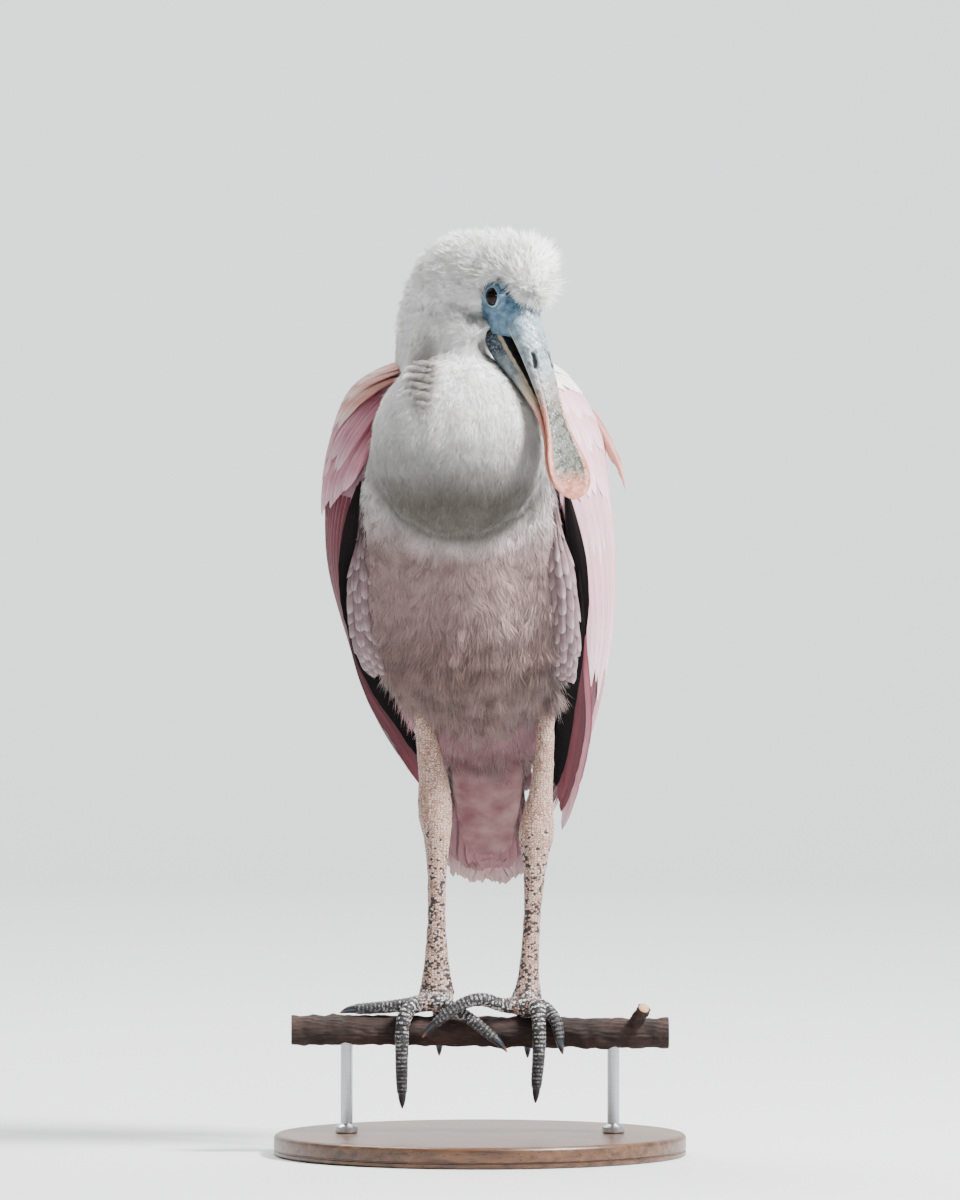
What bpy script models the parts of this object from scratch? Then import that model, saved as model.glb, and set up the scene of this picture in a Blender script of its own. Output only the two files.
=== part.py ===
"""Young roseate spoonbill standing on a cut length of branch, held up by a plain display stand.

The bird faces -Y, +Z is up, and the origin is the centre of the stand's underside. Sizes are in metres.
The bird's right side is at -X. Each named part is one closed object, and parts that touch keep GAP apart.
"""

import math
import random

import bmesh
import bpy
from mathutils import Vector

GAP = 0.0003
SHARPEST = 1.6
WELD = 0.00001
FLAT_ENOUGH = 0.4
RIGHT = -1
LEFT = 1

# The stand and the perch
BASE_RADIUS = 0.136
BASE_THICK = 0.014
BASE_BEVEL = 0.003
ROD_RADIUS = 0.004
ROD_REACH = 0.088
PERCH_Z = 0.082
PERCH_RADIUS = 0.0098
PERCH_LENGTH = 0.250
ROD_SINK = 0.004

# The head frame: its origin lies between the eyes, and the bill points forward and down
HEAD_ORIGIN = Vector((0.0225, -0.065, 0.5630))
HEAD_YAW = math.radians(44)
BILL_PITCH = math.radians(75)
EYE_RADIUS = 0.0068
EYE_APART = 0.0345
LID_RADIUS = 0.0073
LID_THICK = 0.0014
LID_OUT = 0.0030

# The torso leans back, and its axis runs from between the shoulders to the tail's root
# Each row is x, y, z of the axis, half the width, reach to the back and reach to the belly
TORSO = [
    (-0.013, -0.006, 0.505, 0.022, 0.022, 0.020),
    (-0.013, -0.004, 0.470, 0.054, 0.046, 0.046),
    (-0.0125, 0.000, 0.425, 0.062, 0.053, 0.054),
    (-0.011, 0.008, 0.375, 0.0635, 0.055, 0.058),
    (-0.006, 0.018, 0.333, 0.0600, 0.050, 0.056),
    (0.000, 0.032, 0.300, 0.0500, 0.040, 0.040),
    (0.004, 0.044, 0.273, 0.0360, 0.028, 0.024),
    (0.005, 0.054, 0.253, 0.0240, 0.018, 0.014),
]

# The neck rises behind the bulge, arches forward and ends in the crown and forehead
NECK_ARCH = [
    (-0.016, 0.014, 0.462, 0.040, 0.036, 0.036),
    (-0.021, -0.002, 0.500, 0.038, 0.036, 0.040),
    (-0.023, -0.014, 0.540, 0.0345, 0.036, 0.038),
    (-0.014, -0.030, 0.570, 0.0345, 0.036, 0.036),
    (0.002, -0.047, 0.5765, 0.031, 0.033, 0.034),
    (0.0175, -0.061, 0.5740, 0.0250, 0.033, 0.023),
    (0.0285, -0.072, 0.5675, 0.0205, 0.028, 0.012),
    (0.0395, -0.083, 0.5620, 0.012, 0.012, 0.006),
]
HEAD_CUT = 0.50
HEAD_SPLIT = 0.0022
BULGE_CENTRE = (-0.013, -0.056, 0.468)
BULGE_RADII = (0.061, 0.053, 0.0625)

# Bill rows are the distance forward of the eyes, the lower and upper edge, and half the width
BILL_UPPER = [
    (0.006, -0.008, 0.0125, 0.0125),
    (0.022, -0.002, 0.0135, 0.0130),
    (0.039, 0.0035, 0.0155, 0.0120),
    (0.060, 0.0085, 0.0170, 0.0104),
    (0.082, 0.0125, 0.0178, 0.0094),
    (0.101, 0.0158, 0.0196, 0.0126),
    (0.117, 0.0178, 0.0210, 0.0176),
    (0.131, 0.0184, 0.0211, 0.0170),
    (0.142, 0.0184, 0.0200, 0.0080),
]
BILL_LOWER = [
    (0.012, -0.0260, -0.0130, 0.0115),
    (0.026, -0.0250, -0.0075, 0.0125),
    (0.039, -0.0190, -0.0020, 0.0120),
    (0.054, -0.0090, 0.0035, 0.0104),
    (0.068, -0.0010, 0.0080, 0.0094),
    (0.083, 0.0065, 0.0120, 0.0088),
    (0.101, 0.0115, 0.0154, 0.0116),
    (0.117, 0.0145, 0.0174, 0.0164),
    (0.130, 0.0156, 0.0179, 0.0158),
    (0.140, 0.0160, 0.0176, 0.0070),
]
FACE = [
    (-0.016, -0.006, 0.016, 0.012, 0.016),
    (-0.006, -0.004, 0.0205, 0.012, 0.017),
    (0.006, -0.005, 0.0185, 0.0125, 0.018),
    (0.017, -0.008, 0.0150, 0.0190, 0.019),
    (0.027, -0.012, 0.0120, 0.0120, 0.014),
]
NOSTRIL_AT = 0.047
NOSTRIL_LENGTH = 0.011
NOSTRIL_SIDE = 0.0072

# Wing rows are height, outer reach, middle x, middle y, depth, front angle and back angle
WINGS = {
    RIGHT: [
        (0.523, 0.043, -0.013, 0.002, 0.030, 30, 120),
        (0.507, 0.069, -0.013, 0.002, 0.048, 36, 145),
        (0.478, 0.084, -0.012, 0.004, 0.058, 43, 160),
        (0.436, 0.0925, -0.011, 0.006, 0.063, 52, 168),
        (0.390, 0.0915, -0.010, 0.012, 0.064, 60, 172),
        (0.340, 0.0785, -0.009, 0.026, 0.062, 66, 172),
        (0.286, 0.061, -0.007, 0.048, 0.052, 66, 168),
        (0.240, 0.037, -0.002, 0.080, 0.032, 62, 150),
    ],
    LEFT: [
        (0.527, 0.050, -0.011, 0.002, 0.030, 30, 120),
        (0.510, 0.070, -0.011, 0.002, 0.048, 34, 145),
        (0.478, 0.088, -0.010, 0.004, 0.058, 39, 160),
        (0.436, 0.095, -0.010, 0.006, 0.063, 44, 168),
        (0.390, 0.0975, -0.009, 0.012, 0.064, 50, 172),
        (0.336, 0.0930, -0.008, 0.026, 0.062, 55, 172),
        (0.278, 0.0790, -0.006, 0.048, 0.052, 58, 168),
        (0.219, 0.048, -0.002, 0.086, 0.032, 60, 150),
    ],
}
ARM_THICK = 0.016
ARM_REACH = 0.76

# A feather tier: how many, where the roots and the tips lie down the wing, first and last place across
# it, width, height of the root and of the tip over the arm, and steps along the vane
WING_TIERS = [
    ("primary", 5, (0.50, 0.46), (1.00, 0.90), (0.03, 0.28), (-0.04, 0.40), 0.020, -0.005, -0.009, 3),
    ("secondary", 7, (0.56, 0.47), (0.96, 0.80), (0.06, 0.93), (0.10, 0.92), 0.026, -0.0015, 0.0012, 3),
    ("greater", 6, (0.42, 0.34), (0.68, 0.57), (0.06, 0.94), (0.05, 0.92), 0.027, -0.0025, 0.0030, 2),
    ("median", 6, (0.26, 0.22), (0.48, 0.40), (0.07, 0.94), (0.05, 0.93), 0.027, -0.0025, 0.0036, 2),
    ("lesser", 5, (0.13, 0.12), (0.31, 0.27), (0.10, 0.92), (0.07, 0.93), 0.029, -0.0025, 0.0038, 2),
    ("shoulder", 4, (0.01, 0.01), (0.18, 0.16), (0.14, 0.86), (0.10, 0.90), 0.028, -0.0020, 0.0038, 2),
]
VANE_THICK = 0.0007
VANE_ROLL = 0.13

# The loose scapular feather that stands off the left shoulder and hooks down
LOOSE_FEATHER = [
    (0.067, 0.006, 0.486, 0.0035),
    (0.079, -0.001, 0.470, 0.0042),
    (0.087, -0.004, 0.453, 0.0036),
    (0.0915, -0.004, 0.437, 0.0026),
    (0.0930, -0.003, 0.425, 0.0009),
]

# The mantle lies over the upper back, between the wings
MANTLE_TIERS = [
    (1, 0.58, 1.02, 0.021, 0.0012),
    (2, 0.34, 0.72, 0.021, 0.0022),
    (3, 0.08, 0.46, 0.024, 0.0030),
]
MANTLE_TOP = 0.506
MANTLE_DROP = 0.150

# The tail slants down and back behind the legs
TAIL_ROOT = Vector((0.005, 0.040, 0.272))
TAIL_SLANT = math.radians(51)
TAIL_LENGTH = 0.127
TAIL_CORE = [(0.000, 0.026, 0.012), (0.022, 0.030, 0.014), (0.052, 0.025, 0.009), (0.080, 0.020, 0.003)]
TAIL_TIERS = [
    ("rectrix", 8, 0.040, 1.00, 0.95, 0.022, 0.0190, 0.0165, 0.0, 3),
    ("undertail", 5, 0.036, 0.72, 0.65, 0.021, 0.0175, 0.0160, -0.0050, 2),
    ("uppertail", 4, 0.030, 0.64, 0.58, 0.021, 0.0175, 0.0190, 0.0046, 2),
]

# Leg rows are x, y, z of the middle, half the width and half the depth, from thigh to sole
LEGS = {
    RIGHT: [
        (-0.0400, 0.0020, 0.314, 0.0056, 0.0060),
        (-0.0380, 0.0060, 0.290, 0.0056, 0.0060),
        (-0.0340, 0.0110, 0.266, 0.0078, 0.0070),
        (-0.0310, 0.0145, 0.247, 0.0096, 0.0084),
        (-0.0297, 0.0150, 0.226, 0.0114, 0.0108),
        (-0.0285, 0.0135, 0.208, 0.0088, 0.0090),
        (-0.0285, 0.0110, 0.186, 0.0064, 0.0066),
        (-0.0287, 0.0070, 0.152, 0.0061, 0.0062),
        (-0.0287, 0.0025, 0.122, 0.0088, 0.0072),
        (-0.0285, 0.0005, 0.106, 0.0118, 0.0095),
    ],
    LEFT: [
        (0.0452, 0.0020, 0.314, 0.0056, 0.0060),
        (0.0442, 0.0060, 0.290, 0.0053, 0.0058),
        (0.0425, 0.0110, 0.262, 0.0064, 0.0064),
        (0.0403, 0.0145, 0.238, 0.0080, 0.0080),
        (0.0373, 0.0150, 0.212, 0.0116, 0.0108),
        (0.0366, 0.0135, 0.196, 0.0088, 0.0088),
        (0.0354, 0.0110, 0.174, 0.0062, 0.0064),
        (0.0338, 0.0070, 0.145, 0.0057, 0.0060),
        (0.0320, 0.0025, 0.116, 0.0072, 0.0068),
        (0.0310, 0.0005, 0.102, 0.0108, 0.0092),
    ],
}
HEEL_CUT = 0.475
SOLE_CUT = 0.985
THIGH_ROWS = [
    (0.0300, 0.0240, 0.345, 0.024, 0.026),
    (0.0370, 0.0140, 0.326, 0.022, 0.026),
    (0.0400, 0.0070, 0.308, 0.016, 0.018),
    (0.0410, 0.0060, 0.292, 0.0085, 0.010),
]

# Toe rows are x, y, z of the middle and the radius, from the foot to the claw's root
TOES = {
    RIGHT: {
        "outer": [
            (-0.030, -0.001, 0.1015, 0.0064),
            (-0.048, -0.002, 0.0990, 0.0046),
            (-0.066, -0.001, 0.0970, 0.0041),
            (-0.083, 0.000, 0.0960, 0.0035),
        ],
        "middle": [
            (-0.031, -0.002, 0.1015, 0.0068),
            (-0.0455, -0.0110, 0.0975, 0.0050),
            (-0.0508, -0.0164, 0.0860, 0.0048),
            (-0.0515, -0.0170, 0.0660, 0.0043),
            (-0.0515, -0.0152, 0.0510, 0.0039),
            (-0.0513, -0.0146, 0.0405, 0.0033),
        ],
        "inner": [
            (-0.0275, -0.002, 0.1015, 0.0068),
            (-0.0190, -0.0085, 0.0968, 0.0046),
            (-0.0080, -0.0122, 0.0912, 0.0040),
            (0.0025, -0.0150, 0.0830, 0.0038),
            (0.0105, -0.0152, 0.0765, 0.0032),
        ],
        "hind": [
            (-0.0285, 0.004, 0.1015, 0.0064),
            (-0.0275, 0.0128, 0.0950, 0.0044),
            (-0.0270, 0.0164, 0.0835, 0.0040),
            (-0.0270, 0.0149, 0.0735, 0.0032),
        ],
    },
    LEFT: {
        "outer": [
            (0.032, -0.001, 0.0985, 0.0066),
            (0.0430, -0.0070, 0.0968, 0.0046),
            (0.0500, -0.0138, 0.0880, 0.0041),
            (0.0525, -0.0158, 0.0760, 0.0033),
        ],
        "middle": [
            (0.032, -0.002, 0.0985, 0.0070),
            (0.0375, -0.0118, 0.0965, 0.0050),
            (0.0390, -0.0168, 0.0835, 0.0046),
            (0.0385, -0.0170, 0.0650, 0.0042),
            (0.0374, -0.0152, 0.0510, 0.0038),
            (0.0370, -0.0146, 0.0440, 0.0032),
        ],
        "inner": [
            (0.029, -0.002, 0.0985, 0.0068),
            (0.0150, -0.0085, 0.0990, 0.0046),
            (0.0020, -0.0155, 0.1030, 0.0044),
            (-0.0095, -0.0190, 0.1012, 0.0041),
            (-0.0215, -0.0212, 0.0940, 0.0038),
            (-0.0305, -0.0206, 0.0865, 0.0033),
        ],
        "hind": [
            (0.030, 0.004, 0.0985, 0.0064),
            (0.0310, 0.0128, 0.0935, 0.0044),
            (0.0315, 0.0164, 0.0820, 0.0040),
            (0.0315, 0.0149, 0.0720, 0.0032),
        ],
    },
}
CLAW_LENGTH = 0.0095
CLAW_CURVE = 0.0022

# The flank feathers hang between the breast and the wing
FLANKS = {
    RIGHT: [(-0.0725, -0.032, 0.448), (-0.0785, -0.030, 0.390), (-0.0765, -0.022, 0.345), (-0.068, -0.009, 0.316)],
    LEFT: [(0.0435, -0.037, 0.452), (0.0520, -0.037, 0.398), (0.0570, -0.029, 0.345), (0.0555, -0.012, 0.312)],
}
FLANK_WIDTH = 0.0090
FLANK_GAP = 0.0005
FLANK_ROWS = 5

COLOURS = {
    "white_down": ((0.80, 0.78, 0.75), 0.9, 0.0),
    "pink_feather": ((0.80, 0.55, 0.57), 0.75, 0.0),
    "grey_bill": ((0.42, 0.46, 0.44), 0.5, 0.0),
    "face_skin": ((0.35, 0.45, 0.52), 0.5, 0.0),
    "eye": ((0.02, 0.015, 0.012), 0.08, 0.0),
    "leg_skin": ((0.62, 0.50, 0.42), 0.6, 0.0),
    "claw": ((0.07, 0.06, 0.06), 0.4, 0.0),
    "bark": ((0.20, 0.12, 0.08), 0.85, 0.0),
    "stand_wood": ((0.16, 0.11, 0.08), 0.45, 0.0),
    "stand_steel": ((0.62, 0.62, 0.62), 0.3, 1.0),
}


def side_name(side):
    return "right" if side == RIGHT else "left"


def clear_scene():
    for obj in list(bpy.data.objects):
        bpy.data.objects.remove(obj, do_unlink=True)


def material(name):
    colour, roughness, metallic = COLOURS[name]
    found = bpy.data.materials.get(name) or bpy.data.materials.new(name)
    found.use_nodes = True
    shader = found.node_tree.nodes["Principled BSDF"]
    shader.inputs["Base Color"].default_value = (*colour, 1.0)
    shader.inputs["Roughness"].default_value = roughness
    shader.inputs["Metallic"].default_value = metallic
    found.diffuse_color = (*colour, 1.0)
    return found


def smooth_row(rows, t):
    """The row at t from 0 to 1 along a Catmull-Rom curve through rows of numbers."""
    place = min(max(t, 0.0), 1.0) * (len(rows) - 1)
    i = min(int(place), len(rows) - 2)
    f = place - i
    p0, p1, p2, p3 = (rows[min(max(i + k, 0), len(rows) - 1)] for k in (-1, 0, 1, 2))
    return [
        0.5 * (2 * b + (c - a) * f + (2 * a - 5 * b + 4 * c - d) * f * f + (3 * b - 3 * c + d - a) * f**3)
        for a, b, c, d in zip(p0, p1, p2, p3)
    ]


def object_from(name, bm):
    bmesh.ops.recalc_face_normals(bm, faces=bm.faces)
    mesh = bpy.data.meshes.new(name)
    bm.to_mesh(mesh)
    bm.free()
    obj = bpy.data.objects.new(name, mesh)
    bpy.context.scene.collection.objects.link(obj)
    return obj


def skin_rings(name, rings, flat_ends=False):
    """A closed body from rings of points. Each end is a flat face, or closes on the middle of its ring."""
    bm = bmesh.new()
    loops = [[bm.verts.new(p) for p in ring] for ring in rings]
    count = len(loops[0])
    for a, b in zip(loops, loops[1:]):
        for k in range(count):
            m = (k + 1) % count
            bm.faces.new((a[k], a[m], b[m]))
            bm.faces.new((a[k], b[m], b[k]))
    for loop in (loops[0], loops[-1]):
        if flat_ends:
            bm.faces.new(loop)
            continue
        middle = sum((v.co for v in loop), Vector()) / count
        pole = bm.verts.new(middle)
        for k in range(count):
            bm.faces.new((pole, loop[k], loop[(k + 1) % count]))
    return object_from(name, bm)


def sheet(name, upper, lower):
    """A thin closed sheet from two like grids of points, split into triangles alike on both faces."""
    bm = bmesh.new()
    grids = [[[bm.verts.new(p) for p in row] for row in grid] for grid in (upper, lower)]
    for grid in grids:
        for a, b in zip(grid, grid[1:]):
            for k in range(len(a) - 1):
                bm.faces.new((a[k], a[k + 1], b[k + 1]))
                bm.faces.new((a[k], b[k + 1], b[k]))
    top, under = grids
    for a, b in ((top[0], under[0]), (top[-1], under[-1])):
        for k in range(len(a) - 1):
            bm.faces.new((a[k], a[k + 1], b[k + 1]))
            bm.faces.new((a[k], b[k + 1], b[k]))
    for side in (0, -1):
        for a, b, c, d in zip(top, top[1:], under[1:], under):
            bm.faces.new((a[side], b[side], c[side]))
            bm.faces.new((a[side], c[side], d[side]))
    return object_from(name, bm)


def loft(name, rows, rings, sides, up, span=(0.0, 1.0), rounded=(0.0, 0.0), power=2.0, grow=0.0):
    """A body round the smooth axis of rows (x, y, z, half width, reach along up, reach against up)."""
    up = Vector(up)
    low, high = span
    made = []
    for i in range(rings + 1):
        share = i / rings
        if rounded[0] or rounded[1]:
            share = 0.5 - 0.5 * math.cos(math.pi * (0.04 + 0.92 * share))
        t = low + (high - low) * share
        x, y, z, wide, above, below = smooth_row(rows, t)
        ahead = Vector(smooth_row(rows, min(t + 0.01, 1.0))[:3]) - Vector(smooth_row(rows, max(t - 0.01, 0.0))[:3])
        ahead.normalize()
        across = ahead.cross(up).normalized()
        lift = across.cross(ahead).normalized()
        scale = 1.0
        for end, reach in ((share, rounded[0]), (1.0 - share, rounded[1])):
            if reach and end < reach:
                scale *= math.sqrt(max(1.0 - (1.0 - end / reach) ** 2, 0.0))
        ring = []
        for k in range(sides):
            angle = 2 * math.pi * (k + 0.5) / sides
            c, s = math.cos(angle), math.sin(angle)
            c = math.copysign(abs(c) ** (2 / power), c)
            s = math.copysign(abs(s) ** (2 / power), s)
            reach = above if s > 0 else below
            ring.append(Vector((x, y, z)) + across * c * (wide * scale + grow) + lift * s * (reach * scale + grow))
        made.append(ring)
    return skin_rings(name, made, flat_ends=not (rounded[0] or rounded[1]))


def ball(name, centre, radii, segments=24, rings=14):
    """An ellipsoid."""
    bm = bmesh.new()
    bmesh.ops.create_uvsphere(bm, u_segments=segments, v_segments=rings, radius=1.0)
    for v in bm.verts:
        v.co = Vector(centre) + Vector(a * b for a, b in zip(v.co, radii))
    return object_from(name, bm)


def replace_mesh(obj, mesh):
    old = obj.data
    obj.modifiers.clear()
    obj.data = mesh
    bpy.data.meshes.remove(old)


def largest_part(obj):
    """Drops every loose surface but the one that encloses most."""
    bm = bmesh.new()
    bm.from_mesh(obj.data)
    bmesh.ops.remove_doubles(bm, verts=bm.verts[:], dist=WELD)
    bmesh.ops.triangulate(bm, faces=bm.faces[:])
    left = set(bm.faces)
    parts = []
    while left:
        part, edge_of = set(), [left.pop()]
        while edge_of:
            face = edge_of.pop()
            part.add(face)
            for e in face.edges:
                for other in e.link_faces:
                    if len(e.link_faces) == 2 and other in left:
                        left.discard(other)
                        edge_of.append(other)
        parts.append(part)

    def volume(part):
        return sum(f.verts[0].co.dot(f.verts[1].co.cross(f.verts[2].co)) for f in part) / 6

    keep = max(parts, key=volume)
    for part in parts:
        if part is not keep:
            bmesh.ops.delete(bm, geom=list(part), context="FACES")
    bmesh.ops.dissolve_limit(bm, angle_limit=math.radians(FLAT_ENOUGH), verts=bm.verts[:], edges=bm.edges[:])
    bmesh.ops.triangulate(bm, faces=bm.faces[:])
    bm.to_mesh(obj.data)
    bm.free()


def boolean(obj, operation, others, solver="EXACT"):
    """Joins or cuts obj with the other objects, applies it and removes them."""
    group = bpy.data.collections.new("boolean")
    bpy.context.scene.collection.children.link(group)
    for other in others:
        for old in list(other.users_collection):
            old.objects.unlink(other)
        group.objects.link(other)
    modifier = obj.modifiers.new("boolean", "BOOLEAN")
    modifier.operation = operation
    modifier.solver = solver
    modifier.operand_type = "COLLECTION"
    modifier.collection = group
    graph = bpy.context.evaluated_depsgraph_get()
    mesh = bpy.data.meshes.new_from_object(obj.evaluated_get(graph))
    replace_mesh(obj, mesh)
    for other in others:
        bpy.data.objects.remove(other, do_unlink=True)
    bpy.data.collections.remove(group)
    largest_part(obj)
    return obj


def fuse(obj, pieces):
    return boolean(obj, "UNION", pieces, "MANIFOLD")


def swollen(obj, by=GAP):
    """A copy of obj whose faces stand out by the gap that touching parts keep."""
    bm = bmesh.new()
    bm.from_mesh(obj.data)
    bm.normal_update()
    moves = [(v, v.normal * by * min(v.calc_shell_factor(), SHARPEST)) for v in bm.verts]
    for v, move in moves:
        v.co += move
    return object_from("swollen_" + obj.name, bm)


def clear_of(obj, *neighbours, by=GAP):
    """Cuts obj back from its neighbours by the gap."""
    for other in neighbours:
        boolean(obj, "DIFFERENCE", [swollen(other, by)], "MANIFOLD")
    return obj


def finish(obj, material_name, smooth=True):
    obj.data.materials.clear()
    obj.data.materials.append(material(material_name))
    if smooth:
        obj.data.shade_smooth()
        obj.data.set_sharp_from_angle(angle=math.radians(35))
    return obj


def head_point(ahead, above, aside=0.0):
    """A point given in the head's frame: forward along the bill, up from it and to the bird's left."""
    forward = Vector(
        (
            math.cos(BILL_PITCH) * math.sin(HEAD_YAW),
            -math.cos(BILL_PITCH) * math.cos(HEAD_YAW),
            -math.sin(BILL_PITCH),
        )
    )
    upward = Vector(
        (
            math.sin(BILL_PITCH) * math.sin(HEAD_YAW),
            -math.sin(BILL_PITCH) * math.cos(HEAD_YAW),
            math.cos(BILL_PITCH),
        )
    )
    leftward = upward.cross(forward)
    return HEAD_ORIGIN + forward * ahead + upward * above + leftward * aside


def head_up():
    return head_point(0, 1) - head_point(0, 0)


def blade(name, place, steps, width, thick=VANE_THICK, tip=0.30, root=0.45):
    """A thin feather vane. place(share, across, height) says where its points lie."""
    upper, lower = [], []
    for i in range(steps + 1):
        share = i / steps
        if share < 0.6:
            wide = root + (1 - root) * math.sin(math.pi / 2 * share / 0.6)
        else:
            wide = tip + (1 - tip) * math.sqrt(max(1 - ((share - 0.6) / 0.4) ** 2, 0.0))
        half = width / 2 * wide
        upper.append([place(share, a, thick / 2) for a in (-half, half)])
        lower.append([place(share, a, -thick / 2) for a in (-half, half)])
    return sheet(name, upper, lower)


def wing_point(side, down, across, height):
    """A point of the wing's outer surface: down its length, from front to back, and above it."""
    z, reach, mid_x, mid_y, depth, front, back = smooth_row(WINGS[side], down)
    angle = math.radians(front + (back - front) * across)
    return Vector(
        (
            mid_x + side * (reach + height) * math.sin(angle),
            mid_y - (depth + height) * math.cos(angle),
            z,
        )
    )


def wing_arc(side, down):
    """How long the wing is from front to back at that share of its length."""
    points = [wing_point(side, down, k / 8, 0) for k in range(9)]
    return sum((b - a).length for a, b in zip(points, points[1:]))


def make_wing(side):
    """The arm, its tiers of feathers and the shoulder that meets the torso."""
    name = "wing_" + side_name(side)
    steps, around = 7, 6
    outer, inner = [], []
    for i in range(steps + 1):
        down = 0.02 + (ARM_REACH - 0.02) * i / steps
        thick = ARM_THICK * (1 - 0.72 * (i / steps) ** 1.5) * min(1.0, 0.35 + i / 3)
        outer.append([wing_point(side, down, k / around, 0.0) for k in range(around + 1)])
        edges = [math.sin(math.pi * (0.12 + 0.76 * k / around)) for k in range(around + 1)]
        inner.append([wing_point(side, down, k / around, -thick * edges[k]) for k in range(around + 1)])
    wing = sheet(name, outer, inner)
    random.seed(11 + side)
    vanes = []
    for tier, count, roots, tips, root_span, tip_span, width, low, high, cuts in WING_TIERS:
        for n in range(count):
            share = n / (count - 1)
            root_down = roots[0] + (roots[1] - roots[0]) * share
            tip_down = tips[0] + (tips[1] - tips[0]) * share + random.uniform(-0.012, 0.008)
            root_across = root_span[0] + (root_span[1] - root_span[0]) * share
            tip_across = tip_span[0] + (tip_span[1] - tip_span[0]) * share + random.uniform(-0.01, 0.01)

            def place(s, a, h, r0=root_down, r1=tip_down, c0=root_across, c1=tip_across, lo=low, hi=high):
                down = r0 + (r1 - r0) * s
                across = c0 + (c1 - c0) * s
                height = lo + (hi - lo) * min(1.0, s / 0.6) + a * VANE_ROLL
                return wing_point(side, down, across + a / wing_arc(side, down), height + h)

            vanes.append(blade(f"{tier}_{n}", place, cuts, width))
    shoulder_at = wing_point(side, 0.26, 0.45, -0.012)
    inward = Vector((TORSO[1][0], TORSO[1][1] + 0.01, shoulder_at.z))
    rows = [(*shoulder_at.lerp(inward, s), r, r * 1.3, r * 1.3) for s, r in ((0.0, 0.014), (0.5, 0.020), (1.0, 0.020))]
    vanes.append(loft("shoulder_joint", rows, 6, 12, (0, 0, 1), rounded=(0.2, 0.2)))
    fuse(wing, vanes)
    return wing


def make_loose_feather():
    def place(share, across, height):
        x, y, z, half = smooth_row(LOOSE_FEATHER, share)
        return Vector((x - across * 0.35 * half / 0.004, y - across * 0.9, z + across * 0.3 + height))

    return blade("loose_feather", place, 6, 0.009, thick=0.0014, tip=0.12, root=0.9)


def make_flank(side):
    """A column of small rounded feathers down the side of the breast."""
    rows = []
    for x, y, z in FLANKS[side]:
        rows.append((x, y, z, FLANK_WIDTH, FLANK_WIDTH, FLANK_WIDTH * 1.5))
    rows[0] = (*rows[0][:3], 0.007, 0.008, 0.010)
    rows[-1] = (*rows[-1][:3], 0.007, 0.006, 0.008)
    flank = loft("flank_" + side_name(side), rows, 7, 9, (0, -1, 0), rounded=(0.12, 0.10))
    vanes = []
    for row in range(FLANK_ROWS):
        for column in (-1, 1):
            start = 0.12 + (row + 0.25 * column) * 0.82 / FLANK_ROWS

            def place(s, a, h, start=start, column=column):
                x, y, z = smooth_row(FLANKS[side], min(start + 0.22 * s, 1.05))
                out = 0.0062 + 0.0056 * s
                drop = max(start + 0.22 * s - 1.0, 0.0) * 0.14
                return Vector((x + column * 0.0048 + a, y - out - h + 0.12 * a * column, z - drop))

            vanes.append(blade(f"flank_vane_{row}_{column}", place, 2, 0.0135, tip=0.45, root=0.6))
    if vanes:
        fuse(flank, vanes)
    return flank


def make_tail():
    """The tail fan, with shorter feathers over and under its root."""
    along = Vector((0, math.cos(TAIL_SLANT), -math.sin(TAIL_SLANT)))
    over = Vector((0, math.sin(TAIL_SLANT), math.cos(TAIL_SLANT)))
    core_rows = [(*(TAIL_ROOT + along * reach), wide, thick, thick * 1.3) for reach, wide, thick in TAIL_CORE]
    tail = loft("tail", core_rows, 6, 14, over, rounded=(0.05, 0.12))
    vanes = []
    for tier, count, first, middle, edge, root_half, tip_half, width, height, cuts in TAIL_TIERS:
        for n in range(count):
            spread = 2 * n / (count - 1) - 1
            reach = TAIL_LENGTH * (middle + (edge - middle) * spread * spread)
            stack = 0.0011 * (count / 2 - abs(n - (count - 1) / 2))

            def place(s, a, h, spread=spread, reach=reach, stack=stack, first=first, height=height,
                      root_half=root_half, tip_half=tip_half):
                ahead = first + (reach - first) * s
                aside = spread * (0.7 * root_half + (tip_half - 0.7 * root_half) * s)
                bend = -0.0035 * (aside / 0.03) ** 2
                lift = height * (0.6 + 0.4 * s) + math.copysign(stack, height or 1) + bend - 0.05 * a * spread
                return TAIL_ROOT + along * ahead + Vector((1, 0, 0)) * (aside + a) + over * (lift + h)

            vanes.append(blade(f"{tier}_{n}", place, cuts, width, tip=0.5, root=0.6))
    if vanes:
        fuse(tail, vanes)
    return tail


def mantle_point(down, across, height):
    """A point of the upper back: down it, and across it from the right to the left."""
    z = MANTLE_TOP - MANTLE_DROP * down
    t = (TORSO[0][2] - z) / (TORSO[0][2] - TORSO[-1][2])
    for _ in range(6):
        t += (smooth_row(TORSO, t)[2] - z) / (TORSO[0][2] - TORSO[-1][2])
    x, y, _, wide, above, _ = smooth_row(TORSO, t)
    grow = 0.013 + height
    angle = math.radians(180 + 62 * across)
    return Vector((x - (wide + grow) * math.sin(angle), y - (above + grow) * math.cos(angle), z))


def mantle_reach(down):
    """How far the mantle spreads to each side. It narrows downward, where the wings close over it."""
    return 0.40 - 0.28 * down


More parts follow.
